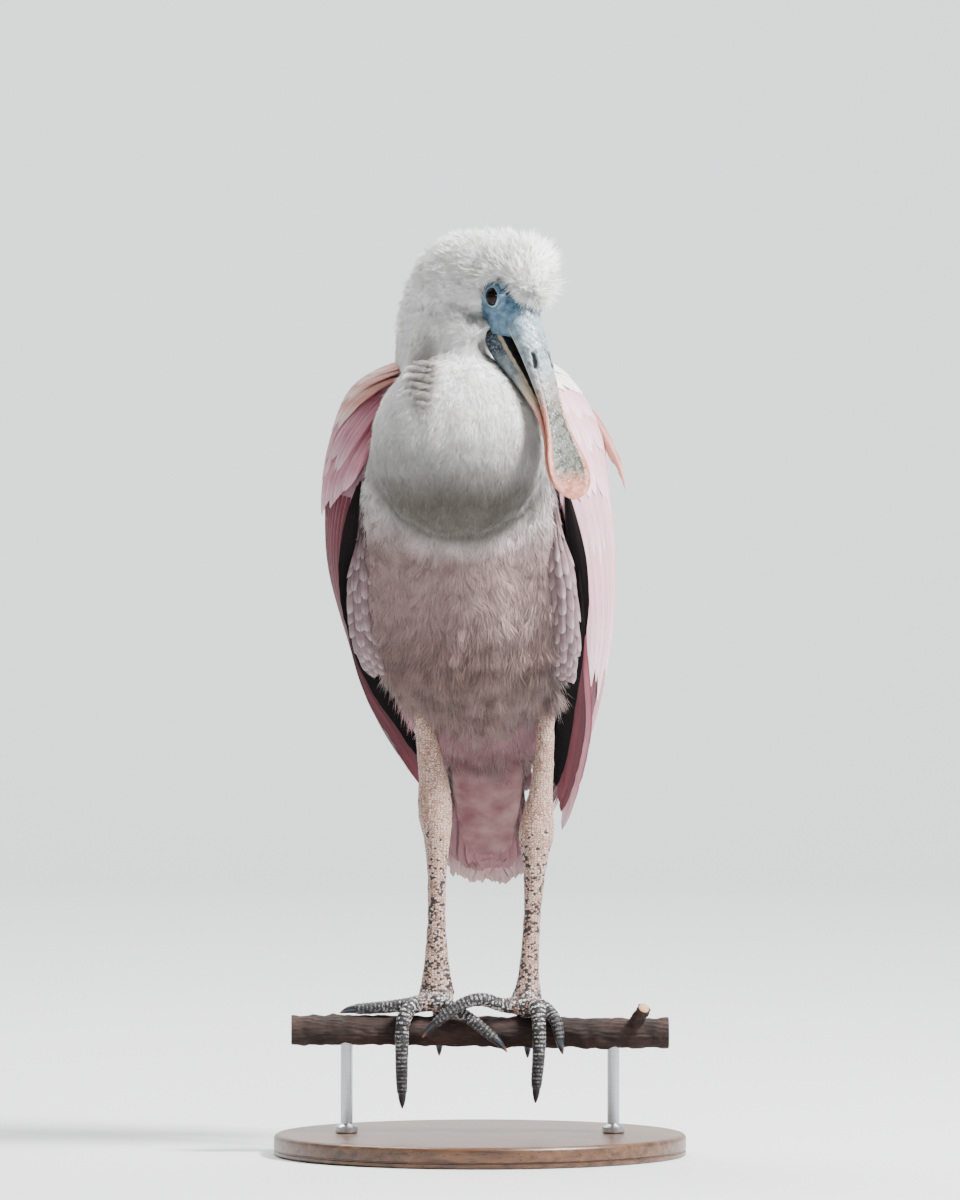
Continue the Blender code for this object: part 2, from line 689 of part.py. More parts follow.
def make_mantle():
    """The feathers of the upper back, rooted on a thin pad over the torso."""
    steps, around = 4, 5
    outer, inner = [], []
    for i in range(steps + 1):
        down = 0.04 + 0.84 * i / steps
        reach = mantle_reach(down)
        outer.append([mantle_point(down, reach * (2 * k / around - 1), -0.002) for k in range(around + 1)])
        inner.append([mantle_point(down, reach * (2 * k / around - 1), -0.016) for k in range(around + 1)])
    mantle = sheet("mantle", outer, inner)
    vanes = []
    for tier, (count, first, last, width, high) in enumerate(MANTLE_TIERS):
        for n in range(count):
            side = 2 * n / (count - 1) - 1 if count > 1 else 0

            def place(s, a, h, first=first, last=last, side=side, high=high):
                down = first + (last - first) * s
                height = -0.004 + (high + 0.004) * min(1.0, s / 0.6) + a * VANE_ROLL
                return mantle_point(down, side * mantle_reach(down) * 0.7 + a / 0.075, height + h)

            vanes.append(blade(f"mantle_vane_{tier}_{n}", place, 3, width))
    if vanes:
        fuse(mantle, vanes)
    return mantle


def bill_rows(table):
    rows = []
    for ahead, low, high, half in table:
        middle = low + 0.35 * (high - low)
        rows.append((*head_point(ahead, middle), half, high - middle, middle - low))
    return rows


def make_bill():
    upper = loft("bill_upper", bill_rows(BILL_UPPER), 15, 12, head_up(), rounded=(0.04, 0.09), power=2.3)
    lower = loft("bill_lower", bill_rows(BILL_LOWER), 15, 12, head_up(), rounded=(0.04, 0.09), power=2.3)
    slits = []
    for side in (RIGHT, LEFT):
        rows = []
        for s, r in ((-0.5, 0.0004), (-0.2, 0.0010), (0.2, 0.0011), (0.5, 0.0005)):
            at = head_point(NOSTRIL_AT + s * NOSTRIL_LENGTH, 0.0150, side * (NOSTRIL_SIDE + 0.0006 * s))
            rows.append((*at, r, 0.004, 0.0030))
        slits.append(loft("nostril", rows, 3, 6, head_up(), rounded=(0.1, 0.1)))
    boolean(upper, "DIFFERENCE", slits, "MANIFOLD")
    clear_of(lower, upper)
    return upper, lower


def eye_centre(side):
    return head_point(0.0, 0.0, side * EYE_APART / 2)


def make_eye(side):
    return ball("eye_" + side_name(side), eye_centre(side), (EYE_RADIUS,) * 3, 12, 8)


def lid_centre(side):
    outward = (eye_centre(side) - eye_centre(-side)).normalized()
    return eye_centre(side) + outward * LID_OUT, outward


def lid_ring(side):
    """The rim of bare skin that stands round an eye."""
    middle, outward = lid_centre(side)
    first = outward.orthogonal().normalized()
    second = outward.cross(first)
    bm = bmesh.new()
    turns, sides = 12, 4
    rings = []
    for i in range(turns):
        angle = 2 * math.pi * i / turns
        radial = first * math.cos(angle) + second * math.sin(angle)
        ring = []
        for k in range(sides):
            turn = 2 * math.pi * k / sides
            flat = radial * math.cos(turn) * LID_THICK * 1.7 + outward * math.sin(turn) * LID_THICK
            ring.append(bm.verts.new(middle + radial * LID_RADIUS + flat))
        rings.append(ring)
    for i in range(turns):
        a, b = rings[i], rings[(i + 1) % turns]
        for k in range(sides):
            m = (k + 1) % sides
            bm.faces.new((a[k], a[m], b[m], b[k]))
    return object_from("lid_" + side_name(side), bm)


def make_face():
    """The bare skin from behind the eyes to the bill's root."""
    rows = [(*head_point(s, t), wide, above, below) for s, t, wide, above, below in FACE]
    return loft("face", rows, 7, 12, head_up(), rounded=(0.16, 0.10), power=2.4)


def make_head(face, bill):
    """The feathered head, open for the bare face and round each lid."""
    head = make_neck_arch("head", (HEAD_CUT + HEAD_SPLIT, 1.0), (0.0001, 0.14))
    clear_of(head, face, *bill)
    reach = (LID_RADIUS + 1.7 * LID_THICK + GAP) * 1.05
    orbits = [ball("orbit", lid_centre(side)[0], (reach,) * 3, 12, 8) for side in (RIGHT, LEFT)]
    return boolean(head, "DIFFERENCE", orbits, "MANIFOLD")


def make_neck_arch(name, span, rounded):
    return loft(name, NECK_ARCH, 9 if span[0] == 0 else 10, 16, (0, 0.6, 1), span=span, rounded=rounded)


def make_torso():
    return loft("torso", TORSO, 13, 18, (0, 1, 0), rounded=(0.12, 0.10), power=2.1)


def leg_rows(side, rows=None):
    return [(x, y, z, wide, deep, deep) for x, y, z, wide, deep in (rows or LEGS[side])]


def make_leg(side):
    """Bare shank above the heel and below it. The heel's swelling is cut at its middle."""
    word = side_name(side)
    tibia = loft("tibia_" + word, leg_rows(side), 7, 10, (0, -1, 0), span=(0.0, HEEL_CUT - 0.001))
    tarsus = loft("tarsus_" + word, leg_rows(side), 10, 10, (0, -1, 0), span=(HEEL_CUT + 0.001, SOLE_CUT))
    return tibia, tarsus


def make_thigh(side):
    rows = [(side * x, y, z, wide, deep, deep) for x, y, z, wide, deep in THIGH_ROWS]
    return loft("thigh_" + side_name(side), rows, 5, 10, (0, -1, 0), rounded=(0.15, 0.2))


def toe_rows(table):
    return [(x, y, z, r, r, r) for x, y, z, r in table]


def claw_curve(table):
    """Rows of a claw that carries on from the toe's end and hooks down."""
    end = Vector(table[-1][:3])
    ahead = (end - Vector(table[-2][:3])).normalized()
    radius = table[-1][3]
    hook = Vector((0, 0, -1)) if abs(ahead.z) < 0.8 else Vector((0, 1, 0))
    rows = []
    for share, thick in ((0.0, 0.80), (0.35, 0.66), (0.7, 0.40), (1.0, 0.12)):
        at = end + ahead * CLAW_LENGTH * share + hook * CLAW_CURVE * share * share
        rows.append((*at, radius * thick, radius * thick, radius * thick))
    return rows


def make_foot(side):
    """Toes fused to the ball of the foot, and a claw for each toe."""
    word = side_name(side)
    sole = LEGS[side][-1]
    foot = ball("foot_" + word, (sole[0], sole[1] - 0.001, sole[2] - 0.0035), (0.0113, 0.0102, 0.0085), 12, 8)
    toes = []
    claws = []
    for toe, table in TOES[side].items():
        toes.append(loft("toe_" + toe, toe_rows(table), 6, 7, (0.1, 0.2, 1), rounded=(0.05, 0.04)))
        claws.append(loft(f"claw_{word}_{toe}", claw_curve(table), 3, 6, (0.1, 0.2, 1), rounded=(0.05, 0.2)))
    fuse(foot, toes)
    return foot, claws


def make_perch():
    """A crooked cut length of branch with two sawn twigs."""
    random.seed(3)
    rows = []
    count = 9
    for i in range(count):
        x = PERCH_LENGTH * (i / (count - 1) - 0.5)
        sway = 0.0016 * math.sin(5.1 * i / count + 0.4)
        thick = PERCH_RADIUS + random.uniform(-0.0005, 0.0005)
        rows.append((x, sway, PERCH_Z - 0.0008 + 0.0010 * math.cos(4.0 * i / count), thick, thick, thick))
    perch = loft("perch", rows, 12, 12, (0, 0, 1))
    twigs = []
    for x, lean, reach in ((-0.108, (0.5, 0.9, 0.25), 0.026), (0.100, (0.35, -0.75, 0.7), 0.024)):
        start = Vector((x, 0, PERCH_Z))
        step = Vector(lean).normalized() * reach
        twig = [(*(start + step * s), r, r, r) for s, r in ((0.0, 0.0056), (0.5, 0.0046), (1.0, 0.0040))]
        twigs.append(loft("twig", twig, 3, 7, (0, 0.2, 1)))
    fuse(perch, twigs)
    return perch


def turned(name, profile, turns):
    """A shape turned about Z from a profile that runs down its outer side."""
    bm = bmesh.new()
    points = [bm.verts.new((x, 0, z)) for x, z in profile]
    for pair in zip(points, points[1:]):
        bm.edges.new(pair)
    obj = object_from(name, bm)
    screw = obj.modifiers.new("turn", "SCREW")
    screw.axis = "Z"
    screw.steps = turns
    screw.render_steps = turns
    screw.use_merge_vertices = True
    screw.merge_threshold = 0.0
    graph = bpy.context.evaluated_depsgraph_get()
    replace_mesh(obj, bpy.data.meshes.new_from_object(obj.evaluated_get(graph)))
    return obj


def make_stand():
    """A turned round base and two steel rods up into the perch."""
    profile = [
        (0.0, BASE_THICK),
        (BASE_RADIUS - BASE_BEVEL, BASE_THICK),
        (BASE_RADIUS - BASE_BEVEL * 0.35, BASE_THICK - BASE_BEVEL * 0.35),
        (BASE_RADIUS, BASE_THICK - BASE_BEVEL),
        (BASE_RADIUS, BASE_BEVEL / 2),
        (BASE_RADIUS - BASE_BEVEL / 2, 0.0),
        (0.0, 0.0),
    ]
    base = turned("stand_base", profile, 36)
    rods = []
    for side in (RIGHT, LEFT):
        low = BASE_THICK + GAP
        high = PERCH_Z - PERCH_RADIUS + ROD_SINK
        bm = bmesh.new()
        bmesh.ops.create_cone(bm, cap_ends=True, segments=12, radius1=ROD_RADIUS, radius2=ROD_RADIUS, depth=high - low)
        bmesh.ops.translate(bm, verts=bm.verts, vec=(side * ROD_REACH, 0, (low + high) / 2))
        rods.append(object_from("stand_rod_" + side_name(side), bm))
    return base, rods


def main():
    clear_scene()
    base, rods = make_stand()
    perch = clear_of(make_perch(), *rods)
    torso = fuse(make_torso(), [make_thigh(side) for side in (RIGHT, LEFT)])
    upper, lower = make_bill()
    eyes = [make_eye(side) for side in (RIGHT, LEFT)]
    face = clear_of(make_face(), upper, lower)
    head = make_head(face, (upper, lower))
    fuse(face, [lid_ring(side) for side in (RIGHT, LEFT)])
    clear_of(face, *eyes)
    neck = make_neck_arch("neck", (0.0, HEAD_CUT - HEAD_SPLIT), (0.12, 0.0001))
    fuse(neck, [ball("bulge", BULGE_CENTRE, BULGE_RADII, 18, 12)])
    clear_of(neck, head, face, upper, lower, torso)
    tail = clear_of(make_tail(), torso)
    wings = [clear_of(make_wing(side), torso, neck, tail) for side in (RIGHT, LEFT)]
    fuse(wings[1], [make_loose_feather()])
    mantle = clear_of(make_mantle(), torso, neck, *wings)
    flanks = [clear_of(make_flank(side), torso, neck) for side in (RIGHT, LEFT)]
    for flank, wing in zip(flanks, wings):
        clear_of(flank, wing, by=FLANK_GAP)
    legs = []
    for side in (RIGHT, LEFT):
        tibia, tarsus = make_leg(side)
        clear_of(tibia, torso)
        foot, claws = make_foot(side)
        clear_of(foot, tarsus, perch, *claws)
        legs.append((tibia, tarsus, foot, claws))
    clear_of(legs[0][2], legs[1][2])
    for obj in (head, neck, torso):
        finish(obj, "white_down")
    for obj in (*wings, mantle, tail, *flanks):
        finish(obj, "pink_feather", smooth=False)
    for obj in (upper, lower):
        finish(obj, "grey_bill")
    finish(face, "face_skin")
    for eye in eyes:
        finish(eye, "eye")
    for tibia, tarsus, foot, claws in legs:
        for obj in (tibia, tarsus, foot):
            finish(obj, "leg_skin")
        for claw in claws:
            finish(claw, "claw")
    finish(perch, "bark")
    finish(base, "stand_wood")
    for rod in rods:
        finish(rod, "stand_steel")
    model = bpy.data.collections.new("spoonbill")
    bpy.context.scene.collection.children.link(model)
    for obj in list(bpy.context.scene.collection.objects):
        bpy.context.scene.collection.objects.unlink(obj)
        model.objects.link(obj)


main()
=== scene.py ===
"""A roseate spoonbill at rest on a cut branch, dressed with skin, down, feathers, horn and scales.

Lengths are metres and +Z is up. The bird faces -Y, and its right side lies at -X.
"""

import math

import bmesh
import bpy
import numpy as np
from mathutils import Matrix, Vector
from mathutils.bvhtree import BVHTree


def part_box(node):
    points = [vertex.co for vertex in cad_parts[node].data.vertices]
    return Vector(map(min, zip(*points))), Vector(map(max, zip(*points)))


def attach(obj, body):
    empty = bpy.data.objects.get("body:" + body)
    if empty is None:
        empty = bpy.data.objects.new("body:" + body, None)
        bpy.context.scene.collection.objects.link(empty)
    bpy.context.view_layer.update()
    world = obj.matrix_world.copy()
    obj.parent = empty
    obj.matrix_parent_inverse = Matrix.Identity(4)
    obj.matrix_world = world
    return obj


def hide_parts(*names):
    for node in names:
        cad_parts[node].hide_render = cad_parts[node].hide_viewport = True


bl_info = {
    "name": "Spoonbill model",
    "version": (1, 0, 0),
    "blender": (4, 5, 0),
    "location": "View3D > Sidebar > Spoonbill",
    "description": "Builds the skin, plumage, bill, legs, perch and stand of a life-size spoonbill",
    "category": "Object",
}

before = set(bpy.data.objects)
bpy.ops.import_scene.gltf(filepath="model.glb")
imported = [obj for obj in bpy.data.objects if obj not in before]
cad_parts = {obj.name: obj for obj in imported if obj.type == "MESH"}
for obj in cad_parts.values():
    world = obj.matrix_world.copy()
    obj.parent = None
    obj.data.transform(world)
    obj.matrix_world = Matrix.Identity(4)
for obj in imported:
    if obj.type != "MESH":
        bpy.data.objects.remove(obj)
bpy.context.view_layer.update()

RIGHT = -1
LEFT = 1

# The head frame: its origin lies between the eyes, and the bill points forward and down
HEAD_ORIGIN = np.array((0.0225, -0.065, 0.563))
HEAD_YAW = math.radians(44)
BILL_PITCH = math.radians(75)
EYE_RADIUS = 0.0068
EYE_APART = 0.0345

# The torso's axis from between the shoulders to the tail's root
TORSO = [
    (-0.013, -0.006, 0.505, 0.022, 0.022, 0.02),
    (-0.013, -0.004, 0.47, 0.054, 0.046, 0.046),
    (-0.0125, 0.0, 0.425, 0.062, 0.053, 0.054),
    (-0.011, 0.008, 0.375, 0.0635, 0.055, 0.058),
    (-0.006, 0.018, 0.333, 0.06, 0.05, 0.056),
    (0.0, 0.032, 0.3, 0.05, 0.04, 0.04),
    (0.004, 0.044, 0.273, 0.036, 0.028, 0.024),
    (0.005, 0.054, 0.253, 0.024, 0.018, 0.014),
]
NECK_ARCH = [
    (-0.016, 0.014, 0.462),
    (-0.021, -0.002, 0.5),
    (-0.023, -0.014, 0.54),
    (-0.014, -0.03, 0.57),
    (0.002, -0.047, 0.5765),
    (0.0175, -0.061, 0.574),
    (0.0285, -0.072, 0.5675),
    (0.0395, -0.083, 0.562),
]
BULGE_CENTRE = np.array((-0.013, -0.056, 0.468))
BULGE_RADII = np.array((0.061, 0.053, 0.0625))

# Bill rows are the distance forward of the eyes, the lower and upper edge, and half the width
BILL_UPPER = [
    (0.006, -0.008, 0.0125, 0.0125),
    (0.022, -0.002, 0.0135, 0.013),
    (0.039, 0.0035, 0.0155, 0.012),
    (0.06, 0.0085, 0.017, 0.0104),
    (0.082, 0.0125, 0.0178, 0.0094),
    (0.101, 0.0158, 0.0196, 0.0126),
    (0.117, 0.0178, 0.021, 0.0176),
    (0.131, 0.0184, 0.0211, 0.017),
    (0.142, 0.0184, 0.02, 0.008),
]
BILL_LOWER = [
    (0.012, -0.026, -0.013, 0.0115),
    (0.026, -0.025, -0.0075, 0.0125),
    (0.039, -0.019, -0.002, 0.012),
    (0.054, -0.009, 0.0035, 0.0104),
    (0.068, -0.001, 0.008, 0.0094),
    (0.083, 0.0065, 0.012, 0.0088),
    (0.101, 0.0115, 0.0154, 0.0116),
    (0.117, 0.0145, 0.0174, 0.0164),
    (0.13, 0.0156, 0.0179, 0.0158),
    (0.14, 0.016, 0.0176, 0.007),
]
# Face rows are the distance forward of the eyes, height, half the width, reach up and reach down
FACE = [
    (-0.016, -0.006, 0.016, 0.012, 0.016),
    (-0.006, -0.004, 0.0205, 0.012, 0.017),
    (0.006, -0.004, 0.0185, 0.0155, 0.017),
    (0.016, -0.0065, 0.015, 0.019, 0.015),
    (0.024, -0.009, 0.012, 0.017, 0.01),
]
NOSTRIL_AT = 0.047
NOSTRIL_LENGTH = 0.0125
NOSTRIL_SIDE = 0.0072

# Wing rows are height, outer reach, middle x, middle y, depth, front angle and back angle
WINGS = {
    RIGHT: [
        (0.523, 0.043, -0.013, 0.002, 0.03, 30, 120),
        (0.507, 0.069, -0.013, 0.002, 0.048, 36, 145),
        (0.478, 0.084, -0.012, 0.004, 0.058, 43, 160),
        (0.436, 0.0925, -0.011, 0.006, 0.063, 52, 168),
        (0.39, 0.0915, -0.01, 0.012, 0.064, 60, 172),
        (0.34, 0.0785, -0.009, 0.026, 0.062, 66, 172),
        (0.286, 0.061, -0.007, 0.048, 0.052, 66, 168),
        (0.24, 0.037, -0.002, 0.08, 0.032, 62, 150),
    ],
    LEFT: [
        (0.527, 0.05, -0.011, 0.002, 0.03, 30, 120),
        (0.51, 0.07, -0.011, 0.002, 0.048, 34, 145),
        (0.478, 0.088, -0.01, 0.004, 0.058, 39, 160),
        (0.436, 0.095, -0.01, 0.006, 0.063, 44, 168),
        (0.39, 0.0975, -0.009, 0.012, 0.064, 50, 172),
        (0.336, 0.093, -0.008, 0.026, 0.062, 55, 172),
        (0.278, 0.079, -0.006, 0.048, 0.052, 58, 168),
        (0.219, 0.048, -0.002, 0.086, 0.032, 60, 150),
    ],
}
# A row of wing feathers: name, count, roots and tips down the wing, first and last place across for roots
# and for tips, width, height at the root and at the tip, and the vane it is made of
WING_FEATHERS = {
    RIGHT: [
        ("primaries", 9, (0.5, 0.46), (1.0, 0.9), (0.03, 0.3), (-0.04, 0.42),
         0.019, -0.005, -0.0085, "black"),
        ("secondaries", 12, (0.43, 0.4), (0.96, 0.8), (0.24, 0.93), (0.24, 0.92),
         0.016, -0.0022, 0.0004, "rose"),
        ("red_edge", 9, (0.44, 0.42), (0.98, 0.93), (0.0, 0.24), (0.02, 0.27),
         0.0105, -0.002, 0.0004, "crimson"),
        ("greater", 20, (0.27, 0.3), (0.44, 0.6), (0.0, 0.94), (0.04, 0.97),
         0.0115, -0.0015, 0.001, "rose"),
        ("median", 26, (0.17, 0.2), (0.37, 0.45), (0.01, 0.92), (0.12, 1.0),
         0.0085, -0.001, 0.0014, "rose"),
        ("lesser_4", 34, (0.11, 0.13), (0.28, 0.34), (0.0, 0.88), (0.24, 1.02),
         0.0064, -0.0008, 0.0018, "salmon"),
        ("lesser_3", 34, (0.06, 0.08), (0.2, 0.26), (0.01, 0.86), (0.28, 1.02),
         0.006, -0.0006, 0.0021, "salmon"),
        ("lesser_2", 32, (0.02, 0.04), (0.14, 0.19), (0.03, 0.84), (0.32, 1.0),
         0.006, -0.0004, 0.0024, "salmon"),
        ("lesser_1", 28, (0.0, 0.0), (0.09, 0.12), (0.06, 0.84), (0.34, 0.98),
         0.006, -0.0004, 0.0026, "salmon"),
    ],
    LEFT: [
        ("primaries", 9, (0.5, 0.46), (1.0, 0.9), (0.03, 0.3), (-0.04, 0.42),
         0.019, -0.005, -0.0085, "black"),
        ("secondaries", 14, (0.48, 0.44), (1.0, 0.82), (0.19, 0.93), (0.19, 0.92),
         0.016, -0.002, 0.0014, "rose"),
        ("red_edge", 6, (0.5, 0.48), (0.99, 0.99), (0.02, 0.15), (0.03, 0.17),
         0.01, -0.0028, 0.0002, "crimson"),
        ("tertials", 24, (0.36, 0.36), (0.8, 0.74), (0.0, 0.94), (0.03, 0.93),
         0.011, -0.001, 0.0018, "pale"),
        ("greater", 22, (0.27, 0.3), (0.6, 0.62), (0.0, 0.94), (0.02, 0.95),
         0.0115, -0.0012, 0.001, "pale"),
        ("median", 22, (0.17, 0.2), (0.45, 0.48), (0.01, 0.94), (0.02, 0.97),
         0.0105, -0.001, 0.0014, "pale"),
        ("lesser_4", 22, (0.11, 0.13), (0.33, 0.37), (0.02, 0.9), (0.03, 0.98),
         0.0095, -0.0008, 0.0018, "pale"),
        ("lesser_3", 20, (0.06, 0.08), (0.25, 0.29), (0.03, 0.9), (0.03, 0.98),
         0.0095, -0.0006, 0.0021, "pale"),
        ("lesser_2", 30, (0.02, 0.04), (0.17, 0.21), (0.05, 0.88), (0.1, 0.98),
         0.0066, -0.0004, 0.0028, "white"),
        ("lesser_1", 28, (0.0, 0.0), (0.11, 0.14), (0.08, 0.86), (0.16, 0.96),
         0.0066, -0.0004, 0.0032, "white"),
    ],
}
# The dark flight feathers that show between flank and wing: x, y, z of their middle line
FOLDED_PRIMARIES = {
    RIGHT: [(-0.0785, -0.035, 0.446), (-0.0845, -0.0365, 0.42), (-0.0875, -0.029, 0.388),
            (-0.085, -0.015, 0.357), (-0.077, -0.001, 0.33), (-0.0635, 0.012, 0.303),
            (-0.0515, 0.025, 0.2835), (-0.0415, 0.038, 0.262)],
    LEFT: [(0.056, -0.04, 0.442), (0.0605, -0.04, 0.418), (0.065, -0.0335, 0.388),
           (0.066, -0.0225, 0.356), (0.0625, -0.01, 0.33), (0.058, 0.003, 0.3),
           (0.055, 0.024, 0.27), (0.0515, 0.044, 0.242)],
}
ARM_REACH = 0.73
LOOSE_FEATHER = [
    (0.064, 0.004, 0.5, 0.003),
    (0.075, -0.001, 0.486, 0.0042),
    (0.085, -0.004, 0.468, 0.004),
    (0.0925, -0.005, 0.452, 0.0028),
    (0.096, -0.004, 0.4385, 0.0009),
]
MANTLE_TOP = 0.506
MANTLE_DROP = 0.15
TAIL_ROOT = np.array((0.005, 0.04, 0.272))
TAIL_SLANT = math.radians(51)
TAIL_LENGTH = 0.127
FLANKS = {
    RIGHT: [(-0.0725, -0.032, 0.448), (-0.0785, -0.03, 0.39),
            (-0.0765, -0.022, 0.345), (-0.068, -0.009, 0.316)],
    LEFT: [(0.0435, -0.037, 0.452), (0.052, -0.037, 0.398),
           (0.057, -0.029, 0.345), (0.0555, -0.012, 0.312)],
}

# Leg rows are x, y, z of the middle, half the width and half the depth, from thigh to sole
LEGS = {
    RIGHT: [
        (-0.04, 0.002, 0.314, 0.0056, 0.006),
        (-0.038, 0.006, 0.29, 0.0056, 0.006),
        (-0.034, 0.011, 0.266, 0.0078, 0.007),
        (-0.031, 0.0145, 0.247, 0.0096, 0.0084),
        (-0.0297, 0.015, 0.226, 0.0114, 0.0108),
        (-0.0285, 0.0135, 0.208, 0.0088, 0.009),
        (-0.0285, 0.011, 0.186, 0.0064, 0.0066),
        (-0.0287, 0.007, 0.152, 0.0061, 0.0062),
        (-0.0287, 0.0025, 0.122, 0.0088, 0.0072),
        (-0.0285, 0.0005, 0.106, 0.0118, 0.0095),
    ],
    LEFT: [
        (0.0452, 0.002, 0.314, 0.0056, 0.006),
        (0.0442, 0.006, 0.29, 0.0053, 0.0058),
        (0.0425, 0.011, 0.262, 0.0064, 0.0064),
        (0.0403, 0.0145, 0.238, 0.008, 0.008),
        (0.0373, 0.015, 0.212, 0.0116, 0.0108),
        (0.0366, 0.0135, 0.196, 0.0088, 0.0088),
        (0.0354, 0.011, 0.174, 0.0062, 0.0064),
        (0.0338, 0.007, 0.145, 0.0057, 0.006),
        (0.032, 0.0025, 0.116, 0.0072, 0.0068),
        (0.031, 0.0005, 0.102, 0.0108, 0.0092),
    ],
}
# Toe rows are x, y, z of the middle and the radius, from the foot to the claw's root
TOES = {
    RIGHT: {
        "outer": [
            (-0.03, -0.001, 0.1015, 0.0064),
            (-0.048, -0.002, 0.099, 0.0046),
            (-0.066, -0.001, 0.097, 0.0041),
            (-0.083, 0.0, 0.096, 0.0035),
        ],
        "middle": [
            (-0.031, -0.002, 0.1015, 0.0068),
            (-0.0455, -0.011, 0.0975, 0.005),
            (-0.0508, -0.0164, 0.086, 0.0048),
            (-0.0515, -0.017, 0.066, 0.0043),
            (-0.0515, -0.0152, 0.051, 0.0039),
            (-0.0513, -0.0146, 0.0405, 0.0033),
        ],
        "inner": [
            (-0.0275, -0.002, 0.1015, 0.0068),
            (-0.019, -0.0085, 0.0968, 0.0046),
            (-0.008, -0.0122, 0.0912, 0.004),
            (0.0025, -0.015, 0.083, 0.0038),
            (0.0105, -0.0152, 0.0765, 0.0032),
        ],
        "hind": [
            (-0.0285, 0.004, 0.1015, 0.0064),
            (-0.0275, 0.0128, 0.095, 0.0044),
            (-0.027, 0.0164, 0.0835, 0.004),
            (-0.027, 0.0149, 0.0735, 0.0032),
        ],
    },
    LEFT: {
        "outer": [
            (0.032, -0.001, 0.0985, 0.0066),
            (0.043, -0.007, 0.0968, 0.0046),
            (0.05, -0.0138, 0.088, 0.0041),
            (0.0525, -0.0158, 0.076, 0.0033),
        ],
        "middle": [
            (0.032, -0.002, 0.0985, 0.007),
            (0.0375, -0.0118, 0.0965, 0.005),
            (0.039, -0.0168, 0.0835, 0.0046),
            (0.0385, -0.017, 0.065, 0.0042),
            (0.0374, -0.0152, 0.051, 0.0038),
            (0.037, -0.0146, 0.044, 0.0032),
        ],
        "inner": [
            (0.029, -0.002, 0.0985, 0.0068),
            (0.015, -0.0085, 0.099, 0.0046),
            (0.002, -0.0155, 0.103, 0.0044),
            (-0.0095, -0.019, 0.1012, 0.0041),
            (-0.0215, -0.0212, 0.094, 0.0038),
            (-0.0305, -0.0206, 0.0865, 0.0033),
        ],
        "hind": [
            (0.03, 0.004, 0.0985, 0.0064),
            (0.031, 0.0128, 0.0935, 0.0044),
            (0.0315, 0.0164, 0.082, 0.004),
            (0.0315, 0.0149, 0.072, 0.0032),
        ],
    },
}
CLAW_LENGTH = 0.0095
CLAW_CURVE = 0.0022
PERCH_Z = 0.082
PERCH_RADIUS = 0.0098
PERCH_LENGTH = 0.25
TWIGS = [(-0.108, (0.5, 0.9, 0.25), 0.026), (0.1, (0.35, -0.75, 0.7), 0.024)]


def side_name(side):
    return "right" if side == RIGHT else "left"


def unit(vectors):
    return vectors / np.maximum(np.linalg.norm(vectors, axis=-1, keepdims=True), 1e-12)


def step(low, high, values):
    """0 below low and 1 above high, with a soft rise between them."""
    share = np.clip((values - low) / (high - low), 0.0, 1.0)
    return share * share * (3 - 2 * share)


def curve(rows, share):
    """Rows of numbers read along a smooth curve, at each share of its length."""
    rows = np.asarray(rows, float)
    at = np.clip(np.asarray(share, float), 0.0, 1.0) * (len(rows) - 1)
    i = np.minimum(at.astype(int), len(rows) - 2)
    f = (at - i)[..., None]
    a, b, c, d = (rows[np.clip(i + k, 0, len(rows) - 1)] for k in (-1, 0, 1, 2))
    return 0.5 * (2 * b + (c - a) * f + (2 * a - 5 * b + 4 * c - d) * f**2 + (3 * b - 3 * c + d - a) * f**3)


def wobble(points, size, seed):
    """Smooth random values from about -1 to 1, which change over about that size."""
    rng = np.random.default_rng(seed)
    total = np.zeros(points.shape[:-1])
    for _ in range(6):
        way = unit(rng.normal(size=3))
        turns = 2 * math.pi / size * rng.uniform(0.6, 1.5)
        total += np.sin(points @ way * turns + rng.uniform(0, 2 * math.pi))
    return total / 2.6


def head_axes():
    """Unit vectors forward along the bill, up from it and to the bird's left."""
    cos_p, sin_p = math.cos(BILL_PITCH), math.sin(BILL_PITCH)
    forward = np.array((cos_p * math.sin(HEAD_YAW), -cos_p * math.cos(HEAD_YAW), -sin_p))
    upward = np.array((sin_p * math.sin(HEAD_YAW), -sin_p * math.cos(HEAD_YAW), cos_p))
    return forward, upward, np.cross(upward, forward)


def head_point(ahead, above, aside=0.0):
    forward, upward, leftward = head_axes()
    ahead, above, aside = (np.asarray(v, float)[..., None] for v in (ahead, above, aside))
    return HEAD_ORIGIN + forward * ahead + upward * above + leftward * aside


def head_measures(points):
    """How far points lie ahead of, above and beside the middle of the head."""
    forward, upward, leftward = head_axes()
    off = points - HEAD_ORIGIN
    return off @ forward, off @ upward, off @ leftward


def wing_surface(side, down, across, height):
    """Points of the wing's outer surface: down its length, from front to back, and above it."""
    rows = curve(WINGS[side], down)
    z, reach, mid_x, mid_y, depth, front, back = (rows[..., k] for k in range(7))
    angle = np.radians(front + (back - front) * across)
    x = mid_x + side * (reach + height) * np.sin(angle)
    y = mid_y - (depth + height) * np.cos(angle)
    return np.stack(np.broadcast_arrays(x, y, z), axis=-1)


def wing_arc(side, down):
    """How long the wing is from front to back, at that share of its length."""
    points = wing_surface(side, np.full(9, down), np.linspace(0, 1, 9), 0.0)
    return float(np.linalg.norm(np.diff(points, axis=0), axis=1).sum())


